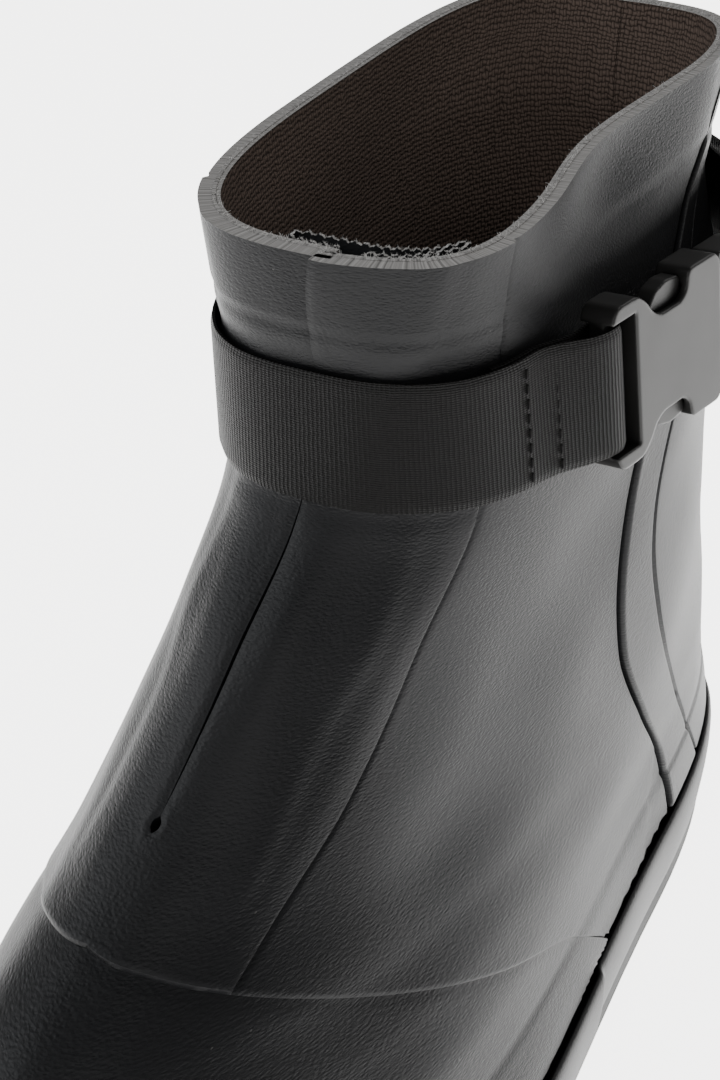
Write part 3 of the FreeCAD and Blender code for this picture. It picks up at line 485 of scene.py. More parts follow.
UPPER = rubber("upper_rubber", (0.0036, 0.0037, 0.0042), 0.44)
SOLE = rubber("sole_rubber", (0.0040, 0.0040, 0.0042), 0.46, 0.6)
SOLE_CAD = rubber("tread_rubber", (0.0060, 0.0060, 0.0062), 0.55, 0.5, None, 1000)
PLY = rubber("ply_rubber", (0.004, 0.004, 0.004), 0.7, 0.8, None, 1000)
# Each woven cloth runs from its first colour to its second with thread height: its own tone, with
# painted shade in the valleys and a painted highlight on the crests.
LINING = woven("lining_canvas", (0.014, 0.0100, 0.0080), (0.105, 0.077, 0.063), 1.05, 0.9,
               0.0004, Specular_IOR_Level=0.15)
WEBBING = woven("strap_webbing", (0.0004, 0.0004, 0.0004), (0.0018, 0.0016, 0.0015), 0.9, 0.5,
                0.0003, rib=True, Specular_IOR_Level=0.1)
GUSSET = rubber("gusset_cloth", (0.0060, 0.0062, 0.0070), 0.55, 0.8)
RAW = fibrous("raw_edge", (0.075, 0.073, 0.070), (0.38, 0.37, 0.36), 1.6)
FRAY = fibrous("frayed_fibre", (0.30, 0.295, 0.285), (0.70, 0.69, 0.67), 0.8)
THREAD = woven("strap_thread", (0.0004, 0.0004, 0.0004), (0.0016, 0.0015, 0.0015), 0.5, 0.6, 0.0001,
               rib=True, Specular_IOR_Level=0.08)
BUCKLE = plastic("buckle_plastic", (0.0060, 0.0058, 0.0056), 0.38)
STEEL, _tree, _shader = material("shank_steel", (0.5, 0.5, 0.52), 0.35, Metallic=1.0)
_brushed = noise(_tree, coordinates(_tree, (3000, 60, 300), None), 1.0, 3.0)
add_bump(_tree, _shader, _brushed, 0.2, 0.0001)
_tree.links.new(ramp(_tree, _brushed, [(0.3, 0.42), (0.7, 0.6)]), _shader.inputs["Base Color"])
BOARD = fibrous("fibre_board", (0.22, 0.17, 0.11), (0.42, 0.34, 0.24), 2.0)
FOAM = woven("footbed_cloth", (0.012, 0.012, 0.013), (0.05, 0.048, 0.047), 0.9, 0.85, 0.0002)

# ---------------------------------------------------------------- relief of the upper


def rounded(distance, radius):
    """0 at an edge, 1 a radius away, round between them."""
    t = np.clip(distance / radius, 0, 1)
    return np.sqrt(np.maximum(1 - (1 - t) ** 2, 0))


def groove(height, width=GROOVE):
    return width * (1 - smooth((height - COLLAR_LINE + 1.5) / 2))


def ahead_of(edge, angle, height):
    """Millimetres from a point back to an edge that climbs the boot's side."""
    return (edge(height) - np.abs(angle)) * per_degree(angle, height)


def from_slit(angle, height):
    return (angle - slit_line(height)) * per_degree(angle, height)


def below_collar(height):
    return smooth((COLLAR_LINE - height) / 1.5)


def common_relief(angle, height):
    """What every panel shares: the collar band, the rand, the foxing groove and soft waves."""
    lift = 0.24 * smooth((height - COLLAR_LINE + 0.9) / 1.8)
    lift = lift - 0.08 * bump(height - COLLAR_LINE + 1.4, 0.8)
    below = RAND_TOP - height
    lift = lift + 0.25 * smooth(below / 1.4) + 1.35 * np.clip(below / 13.5, 0, 1)
    lift = lift - 0.15 * bump(below + 0.5, 1.1)
    lift = lift - 1.9 * smooth((28.2 - height) / 1.1)
    wave = (0.16 * np.sin(0.071 * angle + 0.043 * height + 1.1)
            + 0.12 * np.sin(0.19 * angle - 0.085 * height)
            + 0.07 * np.sin(0.31 * angle + 0.17 * height + 2.0))
    return lift + wave * smooth((height - 30) / 12) * smooth((RIM - height) / 25 + 0.3)


def flap(angle, height):
    """(sideways, outward) move of the lateral flap, which laps over the medial one at the rim."""
    distance = from_slit(angle, height)
    lap = smooth((height - FLAP_START) / FLAP_RUN)
    sideways = -3.4 * lap * smooth(1 - distance / 17)
    outward = 1.95 * lap * smooth(1 - distance / 15)
    return sideways, outward


def vamp_gap(angle, height):
    """Millimetres above the vamp's edge."""
    slope = (vamp_height(angle + 0.5) - vamp_height(angle - 0.5)) / per_degree(angle, height)
    return (height - vamp_height(angle)) / np.sqrt(1 + slope ** 2)


def front_relief(angle, height):
    beside = ahead_of(front_edge, angle, height)
    above = vamp_gap(angle, height) * 1.4
    lift = 0.95 * rounded(np.minimum(beside, above), 0.9)
    inside = ahead_of(backing_edge, angle, height)
    lift = lift + 0.55 * smooth(inside / 5 + 0.5) * smooth((height - 90) / 10)
    lift = lift + 0.5 * bump(beside - 6, 5) * bump(height - 120, 30)
    away = from_slit(angle, height)
    open_part = bump(height - 130, 22)
    lift = lift + 0.9 * open_part * (bump(away - 8, 6) + 0.7 * bump(away + 8, 6))
    lift = lift - 0.25 * bump(away, 1.2) * smooth((height - HOLE + 3) / 4)
    lift = lift + 0.12 * bump(np.hypot(away, height - HOLE) - 2.0, 0.9)
    lift = lift * (1 - 0.6 * smooth((height - 148) / 6) * smooth((184 - height) / 5))
    return lift + common_relief(angle, height)


def quarter_relief(angle, height):
    behind = ahead_of(strip_front, angle, height) - groove(height)
    lift = 0.30 * rounded(vamp_gap(angle, height), 0.6)
    lift = lift - 0.75 * (1 - rounded(behind, 1.0)) * below_collar(height)
    beside = ahead_of(front_edge, angle, height)
    return lift - 0.35 * bump(beside, 1.0) + common_relief(angle, height)


def vamp_relief(angle, height):
    below = -vamp_gap(angle, height)
    toe_side = 0.9 * smooth((RAND_TOP - height) / 12)
    return common_relief(angle, height) - 0.22 * bump(below, 1.3) + toe_side


def strip_relief(angle, height):
    front = -ahead_of(strip_front, angle, height)
    back = ahead_of(strip_back, angle, height)
    edge = rounded(np.minimum(front, back), 1.1)
    band = below_collar(height)
    rise = 0.95 * edge * smooth((height - 26) / 4) * band + 0.30 * (1 - band)
    return common_relief(angle, height) + rise


def back_relief(angle, height):
    folded = 180 - np.abs(angle - 180)
    ahead = (folded - strip_back(height)) * per_degree(angle, height) - groove(height, BACK_GROOVE)
    seam = (folded - 180) * per_degree(angle, height)
    lift = 0.30 - 0.75 * (1 - rounded(ahead, 1.0)) * below_collar(height)
    return lift + common_relief(angle, height) + 0.25 * smooth((4.5 + seam) / 1.5)


def panel(name, angle, height, relief, nodes, move=None):
    """Rubber panel over a grid of (angle, height), replacing its CAD node."""
    lift = relief(angle, height)
    sideways, outward = move(angle, height) if move else (0, 0)
    placed = shifted(angle, height, sideways)
    outer = off(placed, height, lift + outward)
    inner = off(placed, height, outward - SKIN + 0 * lift)
    obj = closed_sheet(name, outer, inner, [UPPER, RAW], layout(angle, height), ("high",))
    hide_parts(*nodes)
    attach(obj, "boot")
    return obj


def climb(edge, low, high):
    return lambda t: (edge(low + (high - low) * t), low + (high - low) * t)


def level(height, left, right):
    return lambda s: (left + (right - left) * s, height + 0 * s)


def slit_opening(height):
    """Half of the slit's opening, with the punched hole at its lower end."""
    circle = np.sqrt(np.maximum(HOLE_RADIUS ** 2 - (height - HOLE) ** 2, 0))
    gape = (0.06 + 0.26 * bump(height - 130, 18)) * smooth((height - HOLE) / 6)
    return np.maximum(circle, np.where(height > HOLE, gape, 0))


def front_flap(side, low_slit, s, t):
    """(angle, height) grid of one flap, from the slit out to the panel's side edge."""
    def edge(z):
        return side * front_edge(np.maximum(z, EDGE_FLOOR))

    def slit(value):
        height = low_slit + (RIM - low_slit) * value
        return shifted(slit_line(height), height, side * slit_opening(height)), height
    corner = side * float(front_edge(EDGE_FLOOR))
    start, end = (corner, SLIT_FOOT) if side < 0 else (SLIT_FOOT, corner)

    def bottom(value):
        angle = start + (end - start) * value
        return angle, vamp_height(angle)
    border = climb(edge, float(vamp_height(np.array(corner))), RIM)
    if side < 0:
        return patch(bottom, level(RIM, edge(RIM), slit_line(RIM)), border, slit, s, t)
    return patch(bottom, level(RIM, slit_line(RIM), edge(RIM)), slit, border, s, t)


def make_front_panel():
    """Two flaps, joined below the hole."""
    low_slit = float(vamp_height(np.array(SLIT_FOOT)))
    tall = RIM - low_slit
    t = spaced(tall, 0.3, 1.5, 2, marks=(HOLE - low_slit, COLLAR_LINE - low_slit), mark_reach=2)
    s = spaced(36, 0.4, 1.4, 3)
    points, faces, kinds, coords = [], [], [], []
    start = 0
    for side in (-1, 1):
        angle, height = front_flap(side, low_slit, s, t)
        lift = front_relief(angle, height)
        sideways, outward = flap(angle, height) if side > 0 else (0, 0)
        placed = shifted(angle, height, sideways)
        outer = off(placed, height, lift + outward)
        inner = off(placed, height, outward - SKIN + 0 * lift)
        columns, rows = outer.shape[:2]
        count = columns * rows
        index = np.arange(count).reshape(columns, rows) + start
        first, last = index[0][::-1], index[-1]
        border, cut = (first, last) if side < 0 else (last, first)
        opened = height[-1] > HOLE - HOLE_RADIUS - 0.05
        if side > 0:
            opened = (height[0] > HOLE - HOLE_RADIUS - 0.05)[::-1]
        faces += [quads(columns, rows, start), quads(columns, rows, start + count, flip=True)]
        kinds += [np.zeros(len(faces[-2])), np.zeros(len(faces[-1]))]
        for line, kind in ((index[:, 0], 0), (index[::-1, -1], 1), (border, 0)):
            faces.append(wall(line, count))
            kinds.append(np.full(len(line) - 1, kind))
        faces.append(wall(cut, count)[opened[1:] & opened[:-1]])
        kinds.append(np.zeros(len(faces[-1])))
        points += [outer.reshape(-1, 3), inner.reshape(-1, 3)]
        coords += [layout(angle, height).reshape(-1, 3)] * 2
        start += 2 * count
    obj = make_object("front_panel_skin", np.concatenate(points), np.concatenate(faces),
                      [UPPER, RAW], np.concatenate(kinds), np.concatenate(coords))
    weld(obj, 0.00002)
    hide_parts("front_panel")
    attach(obj, "boot")


def weld(obj, distance):
    """Merges points that coincide."""
    work = bmesh.new()
    work.from_mesh(obj.data)
    bmesh.ops.remove_doubles(work, verts=work.verts, dist=distance)
    work.to_mesh(obj.data)
    work.free()
    obj.data.set_sharp_from_angle(angle=math.radians(35))


def make_quarter(side):
    start = float(front_edge(EDGE_FLOOR))
    crest = VAMP_CREST * side

    def back(z):
        return shifted(strip_front(z), z, -groove(z))
    end = float(back(np.array(FLOOR_OF_UPPER)))

    def bottom(s):
        angle = start + (end - start) * s
        from_crest = angle - crest
        drop = np.clip((from_crest - VAMP_END) / (end - crest - VAMP_END), 0, 1)
        inside = float(vamp_edge(VAMP_END)) * (1 - drop) + FLOOR_OF_UPPER * drop
        return angle, np.where(from_crest < VAMP_END, vamp_edge(np.minimum(from_crest, VAMP_END)),
                               inside)
    low = float(bottom(np.array(0.0))[1])
    s = spaced(125, 0.45, 1.7, 2.5)
    t = spaced(160, 0.4, 1.5, 2.0, marks=(160 - 13,), mark_reach=1.5)
    angle, height = patch(bottom, level(RIM, float(front_edge(RIM)), float(back(np.array(RIM)))),
                          climb(lambda z: front_edge(np.maximum(z, EDGE_FLOOR)), low, RIM),
                          climb(back, FLOOR_OF_UPPER, RIM), s, t)
    if side < 0:
        angle, height = -angle[::-1], height[::-1]
    name = "lateral" if side > 0 else "medial"
    move = flap if side > 0 else None
    panel("quarter_skin_" + name, angle, height, quarter_relief, ["quarter_" + name], move)


def make_vamp():
    half = VAMP_END - 0.2

    def top(s):
        angle = VAMP_CREST - half + 2 * half * s
        return angle, vamp_height(angle)
    corner = float(vamp_edge(half))
    s = spaced(330, 0.5, 1.8, 2)
    t = spaced(75, 0.35, 1.4, 2, marks=(13,), mark_reach=3)
    angle, height = patch(level(FLOOR_OF_UPPER, VAMP_CREST - half, VAMP_CREST + half), top,
                          climb(lambda z: VAMP_CREST - half + 0 * z, FLOOR_OF_UPPER, corner),
                          climb(lambda z: VAMP_CREST + half + 0 * z, FLOOR_OF_UPPER, corner), s, t)
    panel("vamp_skin", angle, height, vamp_relief, ["vamp"])


def upright(left, right, s, low=FLOOR_OF_UPPER, high=RIM, marks=(15, 29.5, 175)):
    """(angle, height) grid between two climbing lines."""
    t = spaced(high - low, 0.45, 1.5, 1.5, marks=marks, mark_reach=2)
    height = low + (high - low) * t[None, :] + 0 * s[:, None]
    return left(height) + (right(height) - left(height)) * s[:, None], height


def make_strips_and_back():
    for side, name in ((1, "lateral"), (-1, "medial")):
        s = spaced(12, 0.2, 1.2, 1.2)
        angle, height = upright(strip_front, strip_back, s)
        if side < 0:
            angle, height = -angle[::-1], height[::-1]
        panel("side_strip_skin_" + name, angle, height, strip_relief, ["side_strip_" + name])
    s = spaced(135, 0.35, 1.8, 2, marks=(67.5 - 4.5, 67.5 + 4.5), mark_reach=1.5)
    angle, height = upright(lambda z: shifted(strip_back(z), z, groove(z, BACK_GROOVE)),
                            lambda z: 360 - shifted(strip_back(z), z, groove(z, BACK_GROOVE)), s)
    panel("back_panel_skin", angle, height, back_relief, ["back_panel"])


make_front_panel()
make_quarter(1)
make_quarter(-1)
make_vamp()
make_strips_and_back()

# ---------------------------------------------------------------- lining, rim and gusset

LINING_OUT = -2.3
LINING_IN = -3.1
LINING_LOW = 22.4


def rim_half(side, s, low, high, marks):
    """Half of a cloth layer from the slit round to the back: angle, height, place and lift."""
    def slit(z):
        return shifted(slit_line(z), z, 0.5 * side)

    def back(z):
        return 179.9 * side + 0 * z
    if side > 0:
        angle, height = upright(slit, back, s, low, high, marks)
        sideways, outward = flap(angle, height)
    else:
        angle, height = upright(back, slit, s, low, high, marks)
        sideways, outward = 0, 0
    return angle, height, shifted(angle, height, sideways), outward


def make_lining():
    for side, name in ((1, "lateral"), (-1, "medial")):
        s = spaced(260, 0.5, 2.4, 2)
        angle, height, placed, outward = rim_half(side, s, LINING_LOW, RIM, (176,))
        wrinkle = (0.35 * np.sin(0.12 * angle + 0.07 * height) * bump(height - 120, 50)
                   + 0.25 * np.sin(0.33 * angle - 0.11 * height + 1.3) * bump(height - 95, 40))
        seam = 0.35 * smooth(1 - np.abs(180 - np.abs(angle)) * per_degree(angle, height) / 5)
        outer = off(placed, height, LINING_OUT + outward)
        inner = off(placed, height, LINING_IN + outward - seam - np.abs(wrinkle))
        obj = closed_sheet("lining_sock_" + name, outer, inner, [LINING, RAW],
                           layout(angle, height), ("high",))
        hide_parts("lining_" + name)
        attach(obj, "boot")


def make_collar_tape():
    """Cloth tape round the rim between the rubber and the lining."""
    for side, name in ((1, "lateral"), (-1, "medial")):
        s = spaced(200, 0.6, 2.5, 2)
        angle, height, placed, outward = rim_half(side, s, COLLAR_LINE, RIM + 0.15, ())
        outer = off(placed, height, -1.5 + outward)
        inner = off(placed, height, -2.2 + outward)
        obj = closed_sheet("collar_tape_edge_" + name, outer, inner, [RAW, RAW],
                           layout(angle, height))
        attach(obj, "boot")
    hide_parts("collar_tape")


GUSSET_LOW = 107.0
GUSSET_STEP = 0.35
# Section of the folded leaf: millimetres along the boot's girth from the slit, and inwards.
GUSSET_FOLD = [(-1.0, 3.9), (-5.0, 3.8), (-9.2, 3.8), (-11.2, 4.3), (-12.0, 5.4), (-11.4, 6.5),
               (-9.8, 7.1), (-6.0, 7.2), (0.0, 7.3), (8.0, 7.3), (16.0, 7.0), (22.5, 6.4),
               (25.0, 6.0), (25.9, 5.3), (25.0, 4.7), (22.0, 4.8), (16.0, 5.1), (8.0, 5.3),
               (5.2, 5.2), (4.2, 4.5), (5.2, 3.8), (8.0, 3.7), (14.0, 3.9), (19.0, 3.9)]


def smooth_line(points, step):
    """Even samples along a natural cubic spline through the points."""
    points = np.asarray(points, float)
    chord = np.concatenate([[0], np.cumsum(np.linalg.norm(np.diff(points, axis=0), axis=1))])
    n = len(points)
    h = np.diff(chord)
    a = np.zeros((n, n))
    b = np.zeros((n, points.shape[1]))
    a[0, 0] = a[-1, -1] = 1
    for k in range(1, n - 1):
        a[k, k - 1:k + 2] = h[k - 1], 2 * (h[k - 1] + h[k]), h[k]
        b[k] = 6 * ((points[k + 1] - points[k]) / h[k] - (points[k] - points[k - 1]) / h[k - 1])
    m = np.linalg.solve(a, b)

    def at(u):
        i = np.clip(np.searchsorted(chord, u, side="right") - 1, 0, n - 2)
        w = (u - chord[i])[:, None]
        d = h[i][:, None]
        rest = d - w
        return (m[i] * rest ** 3 / (6 * d) + m[i + 1] * w ** 3 / (6 * d)
                + (points[i] / d - m[i] * d / 6) * rest
                + (points[i + 1] / d - m[i + 1] * d / 6) * w)
    dense = np.linspace(0, chord[-1], 40 * n)
    length = np.concatenate([[0], np.cumsum(np.linalg.norm(np.diff(at(dense), axis=0), axis=1))])
    count = max(int(length[-1] / step), 4)
    marks = np.interp(np.linspace(0, length[-1], count + 1), length, dense)
    return at(marks), marks, chord


def gusset_lift(along, deep, height):
    """The leaves under the lateral flap follow it outwards."""
    behind_flap = smooth((along + 1) / 6) * smooth((21 - along) / 16) * smooth((7.6 - deep) / 2.6)
    return 1.6 * behind_flap * smooth((height - FLAP_START) / FLAP_RUN)


def make_gusset():
    path, _, _ = smooth_line(GUSSET_FOLD, GUSSET_STEP)
    run = unit(np.gradient(path, axis=0))
    across = np.stack([run[:, 1], -run[:, 0]], -1) * 0.30
    t = spaced(RIM - GUSSET_LOW, 0.6, 2.5, 2, ends=(False, True))
    wobble = np.sin(np.arange(len(path)) * 0.9) * 0.25 + np.sin(np.arange(len(path)) * 2.3) * 0.15
    top = RIM - 0.1 + wobble
    height = GUSSET_LOW + (top[:, None] - GUSSET_LOW) * t[None, :]
    grids = []
    for side in (1, -1):
        spot = path + across * side
        angle = shifted(slit_line(height), height, spot[:, 0][:, None] + 0 * height)
        lift = gusset_lift(spot[:, 0][:, None], spot[:, 1][:, None], height)
        grids.append(off(angle, height, -spot[:, 1][:, None] + lift))
    coords = np.stack([np.arange(len(path))[:, None] * GUSSET_STEP + 0 * height, height, 0 * height], -1)
    obj = closed_sheet("gusset_leaf", grids[0], grids[1], [GUSSET, RAW], coords, ("high",))
    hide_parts("gusset")
    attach(obj, "boot")
    return path, top


def fibres(name, roots, directions, seed, length, radius):
    """Short frayed fibres, each a bent thread of three sides."""
    draw = random.Random(seed)
    points, faces = [], []
    for root, direction in zip(roots, directions):
        reach = length * draw.uniform(0.4, 1.3)
        lean = np.array([draw.uniform(-1, 1) for _ in range(3)])
        forward = unit(np.asarray(direction) + 0.8 * lean)
        bend = np.array([draw.uniform(-1, 1) for _ in range(3)]) * 0.5
        side = unit(np.cross(forward, [0.3, 0.2, 0.9]))
        other = np.cross(forward, side)
        first = len(points)
        for ring in range(4):
            u = ring / 3
            centre = root + forward * reach * u + bend * reach * u * u * 0.6
            wide = radius * (1 - 0.75 * u)
            for corner in range(3):
                turn = corner * 2.094
                points.append(centre + side * wide * math.cos(turn) + other * wide * math.sin(turn))
        faces += tube_faces(first, 4, 3)
        faces.append((first, first + 2, first + 1))
        faces.append((first + 9, first + 10, first + 11))
    obj = make_object(name, np.array(points), faces, [FRAY], coords=np.array(points))
    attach(obj, "boot")
    return obj


def make_frays(gusset_path, gusset_top):
    draw = random.Random(11)
    roots, ways = [], []
    for _ in range(1500):
        angle = draw.uniform(-180, 180)
        offset = draw.uniform(-2.9, -1.4)
        a = np.array(angle)
        sideways, outward = flap(a, np.array(RIM)) if angle > slit_line(RIM) else (0, 0)
        placed = shifted(a, RIM, sideways)
        roots.append(off(placed, np.array(RIM), np.array(offset + outward)))
        ways.append(np.array([0, 0, 0.35]) - upper_normal(placed, RIM) * draw.uniform(-0.6, 0.8))
    fibres("rim_fray", roots, ways, seed=5, length=0.8, radius=0.06)
    roots, ways = [], []
    for _ in range(420):
        k = draw.randrange(len(gusset_path))
        height = gusset_top[k]
        angle = shifted(slit_line(height), height, gusset_path[k, 0] + draw.uniform(-0.2, 0.2))
        lift = gusset_lift(gusset_path[k, 0], gusset_path[k, 1], height)
        roots.append(off(np.array(angle), np.array(height), np.array(-gusset_path[k, 1] + lift)))
        ways.append(np.array([0, 0, 0.9]))
    fibres("gusset_fray", roots, ways, seed=6, length=0.4, radius=0.03)


make_lining()
make_collar_tape()
make_frays(*make_gusset())

# ---------------------------------------------------------------- foxing


def make_foxing():
    """Rubber band round the bottom, with its lip and the step where the vamp ends."""
    profile = np.array([(0.2, 9.05), (2.2, 9.05), (3.1, 9.3), (3.55, 10.2), (3.8, 13.0),
                        (3.9, 16.5), (3.85, 20.0), (3.65, 23.2), (3.4, 24.8), (3.05, 25.7),
                        (2.6, 26.2), (2.15, 26.3), (1.75, 26.0), (1.5, 25.3), (1.35, 24.0),
                        (1.2, 22.0), (0.2, 21.5)])
    count = 620
    angle = np.linspace(-180, 180, count, endpoint=False)
    toe = 1.15 * smooth((100.5 - np.abs(angle - VAMP_CREST * 0.5)) / 1.2)
    offset = profile[None, :, 0] + toe[:, None] * (profile[None, :, 0] > 0.5)
    height = profile[None, :, 1] + 0 * angle[:, None]
    points = []
    for k in range(profile.shape[0]):
        base = upper(angle, np.maximum(height[:, k], 12))
        base[:, 2] = height[:, k]
        normal = upper_normal(angle, np.full(count, 18.0))
        normal[:, 2] = 0
        points.append(base + unit(normal) * offset[:, k][:, None])
    grid = np.stack(points, 1)
    rows = profile.shape[0]
    i = np.arange(count)
    faces = []
    for j in range(rows):
        a = i * rows + j
        b = ((i + 1) % count) * rows + j
        c = ((i + 1) % count) * rows + (j + 1) % rows
        d = i * rows + (j + 1) % rows
        faces.append(np.stack([a, b, c, d], -1))
    along = np.stack([np.arange(count)[:, None] * 1.3 + 0 * height, height, 0 * height], -1)
    obj = make_object("foxing_band", grid.reshape(-1, 3), np.concatenate(faces), [SOLE],
                      coords=along, sharp=50)
    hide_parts("foxing")
    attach(obj, "boot")


make_foxing()

# ---------------------------------------------------------------- buckle

TURN = math.radians(9)
LEAN = math.radians(-6)
BUCKLE_X = Vector((math.sin(TURN), math.cos(TURN), 0))
BUCKLE_Z = Vector((math.cos(TURN) * math.cos(LEAN), -math.sin(TURN) * math.cos(LEAN),
                   -math.sin(LEAN)))
BUCKLE_Y = BUCKLE_Z.cross(BUCKLE_X)
BUCKLE_ORIGIN = Vector((39.8 + FRAME_SHIFT[0], 33.4 + FRAME_SHIFT[1], 166))
BUCKLE_MATRIX = Matrix.Translation(BUCKLE_ORIGIN * MM) @ Matrix(
    (BUCKLE_X, BUCKLE_Y, BUCKLE_Z)).transposed().to_4x4()
FEMALE_LENGTH = 39.0
MALE_START = 39.3
MALE_LENGTH = 13.5


def prism(outline, low, high):
    """Temporary solid over an outline, in mm along the buckle."""
    count = len(outline)
    points = [(x, y, low) for x, y in outline] + [(x, y, high) for x, y in outline]
    faces = [tuple(range(count))[::-1], tuple(range(count, 2 * count))]
    for k in range(count):
        n = (k + 1) % count
        faces.append((k, n, n + count, k + count))
    mesh = bpy.data.meshes.new("work")
    mesh.from_pydata([tuple(c * MM for c in point) for point in points], [], faces)
    return linked("work", mesh)


def block(x0, x1, y0, y1, z0, z1):
    return prism([(x0, y0), (x1, y0), (x1, y1), (x0, y1)], z0, z1)


def bake_modifiers(obj):
    bpy.context.view_layer.update()
    graph = bpy.context.evaluated_depsgraph_get()
    mesh = bpy.data.meshes.new_from_object(obj.evaluated_get(graph))
    obj.modifiers.clear()
    obj.data = mesh


def combine(body, tools, operation):
    for tool in tools:
        step = body.modifiers.new("cut", "BOOLEAN")
        step.operation = operation
        step.object = tool
        step.solver = "EXACT"
        bake_modifiers(body)
        bpy.data.objects.remove(tool)


def moulded(name, body, voxel, rounds, keep, nodes, body_name):
    """Finishes a plastic piece: even mesh, rounded edges, put in place on the boot."""
    remesh = body.modifiers.new("even", "REMESH")
    remesh.mode = "VOXEL"
    remesh.voxel_size = voxel * MM
    smoothing = body.modifiers.new("round", "SMOOTH")
    smoothing.factor = 0.5
    smoothing.iterations = rounds
    bake_modifiers(body)
    thin = body.modifiers.new("thin", "DECIMATE")
    thin.ratio = keep
    bake_modifiers(body)
    body.name = name
    body.data.name = name
    body.data.materials.clear()
    body.data.materials.append(BUCKLE)
    body.data.transform(BUCKLE_MATRIX)
    body.data.shade_smooth()
    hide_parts(*nodes)
    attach(body, body_name)
    return body


def mirrored(upper_side):
    return list(upper_side) + [(x, -y) for x, y in reversed(upper_side)]


def soft_corners(outline, radius, steps=4):
    """Rounds every corner of an outline."""
    count = len(outline)
    result = []
    for k in range(count):
        here = np.array(outline[k], float)
        before = np.array(outline[k - 1], float) - here
        after = np.array(outline[(k + 1) % count], float) - here
        cut = min(radius, 0.45 * np.linalg.norm(before), 0.45 * np.linalg.norm(after))
        a = here + unit(before) * cut
        b = here + unit(after) * cut
        for step in range(steps + 1):
            u = step / steps
            result.append(tuple((1 - u) ** 2 * a + 2 * u * (1 - u) * here + u * u * b))
    return result


def make_female():
    wide = 16.5
    waist = 10.0
    mouth = 15.5
    outline = soft_corners(mirrored([
        (0.0, wide - 2.4), (1.8, wide), (9.0, wide), (12.2, wide - 2.4), (14.2, waist + 1.4),
        (17.0, waist), (24.0, waist), (26.4, waist + 1.6), (27.2, mouth),
        (FEMALE_LENGTH - 1.8, mouth), (FEMALE_LENGTH, mouth - 1.8)]), 1.6)
    body = prism(outline, -3.8, 3.8)
    cuts = [block(3.4, 8.2, -13.4, 13.4, -9, 9),
            block(12.0, FEMALE_LENGTH + 5, -12.2, 12.2, -2.2, 2.2),
            block(13.5, 27.0, -20, 20, -2.2, 2.2),
            block(-3, 3.42, -13.4, 13.4, 1.7, 9),
            block(-3, 3.42, -13.4, 13.4, -9, -1.7)]
    combine(body, cuts, "DIFFERENCE")
    moulded("buckle_female_body", body, voxel=0.3, rounds=5, keep=0.4,
            nodes=["buckle_female"], body_name="boot")


def make_male():
    half = 14.5
    end = MALE_LENGTH
    outline = soft_corners(mirrored([(0, half), (end - 4, half), (end - 1, half - 1),
                                     (end, half - 4)]), 1.0)
    body = prism([(x + MALE_START, y) for x, y in outline], -3.1, 3.1)
    combine(body, [block(MALE_START - 18, MALE_START + 1, -3, 3, -1.9, 1.9)], "UNION")
    bar = MALE_START + end - 3
    cuts = [block(bar - 4.8, bar, -13.2, 13.2, -9, 9),
            block(bar - 0.01, bar + 9, -13.2, 13.2, 1.5, 9),
            block(bar - 0.01, bar + 9, -13.2, 13.2, -9, -1.5)]
    combine(body, cuts, "DIFFERENCE")
    moulded("buckle_male_base", body, voxel=0.3, rounds=4, keep=0.4,
            nodes=["buckle_male"], body_name="buckle_male")


def make_prongs():
    root = MALE_START - 0.15
    lock = 27.0 - 0.35
    side_view = [(root, 6.6), (root, 10.4), (lock + 1, 11.2), (lock, 11.4), (lock, 14.2),
                 (22, 14.8), (18, 13.8), (15.6, 11.4), (15.2, 9.2), (17, 7.8), (lock + 3, 7.6)]
    for name, side in (("prong_upper", 1), ("prong_lower", -1)):
        outline = soft_corners([(x, y * side) for x, y in side_view], 0.8)
        body = prism(outline, -1.9, 1.9)
        moulded(name + "_arm", body, voxel=0.25, rounds=3, keep=0.4, nodes=[name],
                body_name=name)


make_female()
make_male()
make_prongs()

# ---------------------------------------------------------------- footbed

FOOTBED_LOW = 21.95
FOOTBED_THICK = 4.9


def make_footbed():
    """Foam footbed with rounded edges and a shallow cup for the heel."""
    around = np.linspace(-180, 180, 181)[:-1]
    edge = off(around, FOOTBED_LOW + 0 * around, LINING_IN - 1.0)[:, :2]
    middle = 0.5 * (edge[:, 1].min() + edge[:, 1].max())
    spine = np.stack([np.interp(edge[:, 1], [-100, 100], [-1.0, 0.5]),
                      np.clip(edge[:, 1], middle - 105, middle + 105)], -1)
    side = [(1.0, 0.0), (1.0, 0.35), (1.0, 0.7), (0.985, 0.9), (0.96, 1.0)]
    crown = [(w, 1.0) for w in (0.92, 0.86, 0.78, 0.66, 0.5, 0.3, 0.12)]
    base = [(w, 0.0) for w in (0.12, 0.5, 0.85, 0.97)]
    rings = []
    for wide, up in base + side + crown:
        flat = spine + (edge - spine) * wide
        cup = 0.75 * bump(flat[:, 1] - 100, 42) * (1 - wide ** 2) * up
        rings.append(np.column_stack([flat, FOOTBED_LOW + FOOTBED_THICK * up - cup]))
    points = np.concatenate(rings)
    count = len(around)
    faces = tube_faces(0, len(rings), count)
    faces.append(tuple(reversed(range(count))))
    faces.append(tuple((len(rings) - 1) * count + k for k in range(count)))
    obj = make_object("footbed_foam", points, faces, [FOAM], coords=points)
    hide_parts("footbed")
    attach(obj, "boot")


make_footbed()

# ---------------------------------------------------------------- strap

WEB_HALF = 12.5
WEB_MIDDLE = 166.0
WEB_THICK = 1.3
STRAP_CLEAR = 1.2
WALL_GAP = STRAP_CLEAR + WEB_THICK / 2


def on_wall(angle, offset):
    high = off(np.array(float(angle)), np.array(WEB_MIDDLE + WEB_HALF), np.array(offset))
    low = off(np.array(float(angle)), np.array(WEB_MIDDLE - WEB_HALF), np.array(offset))
    return high, low


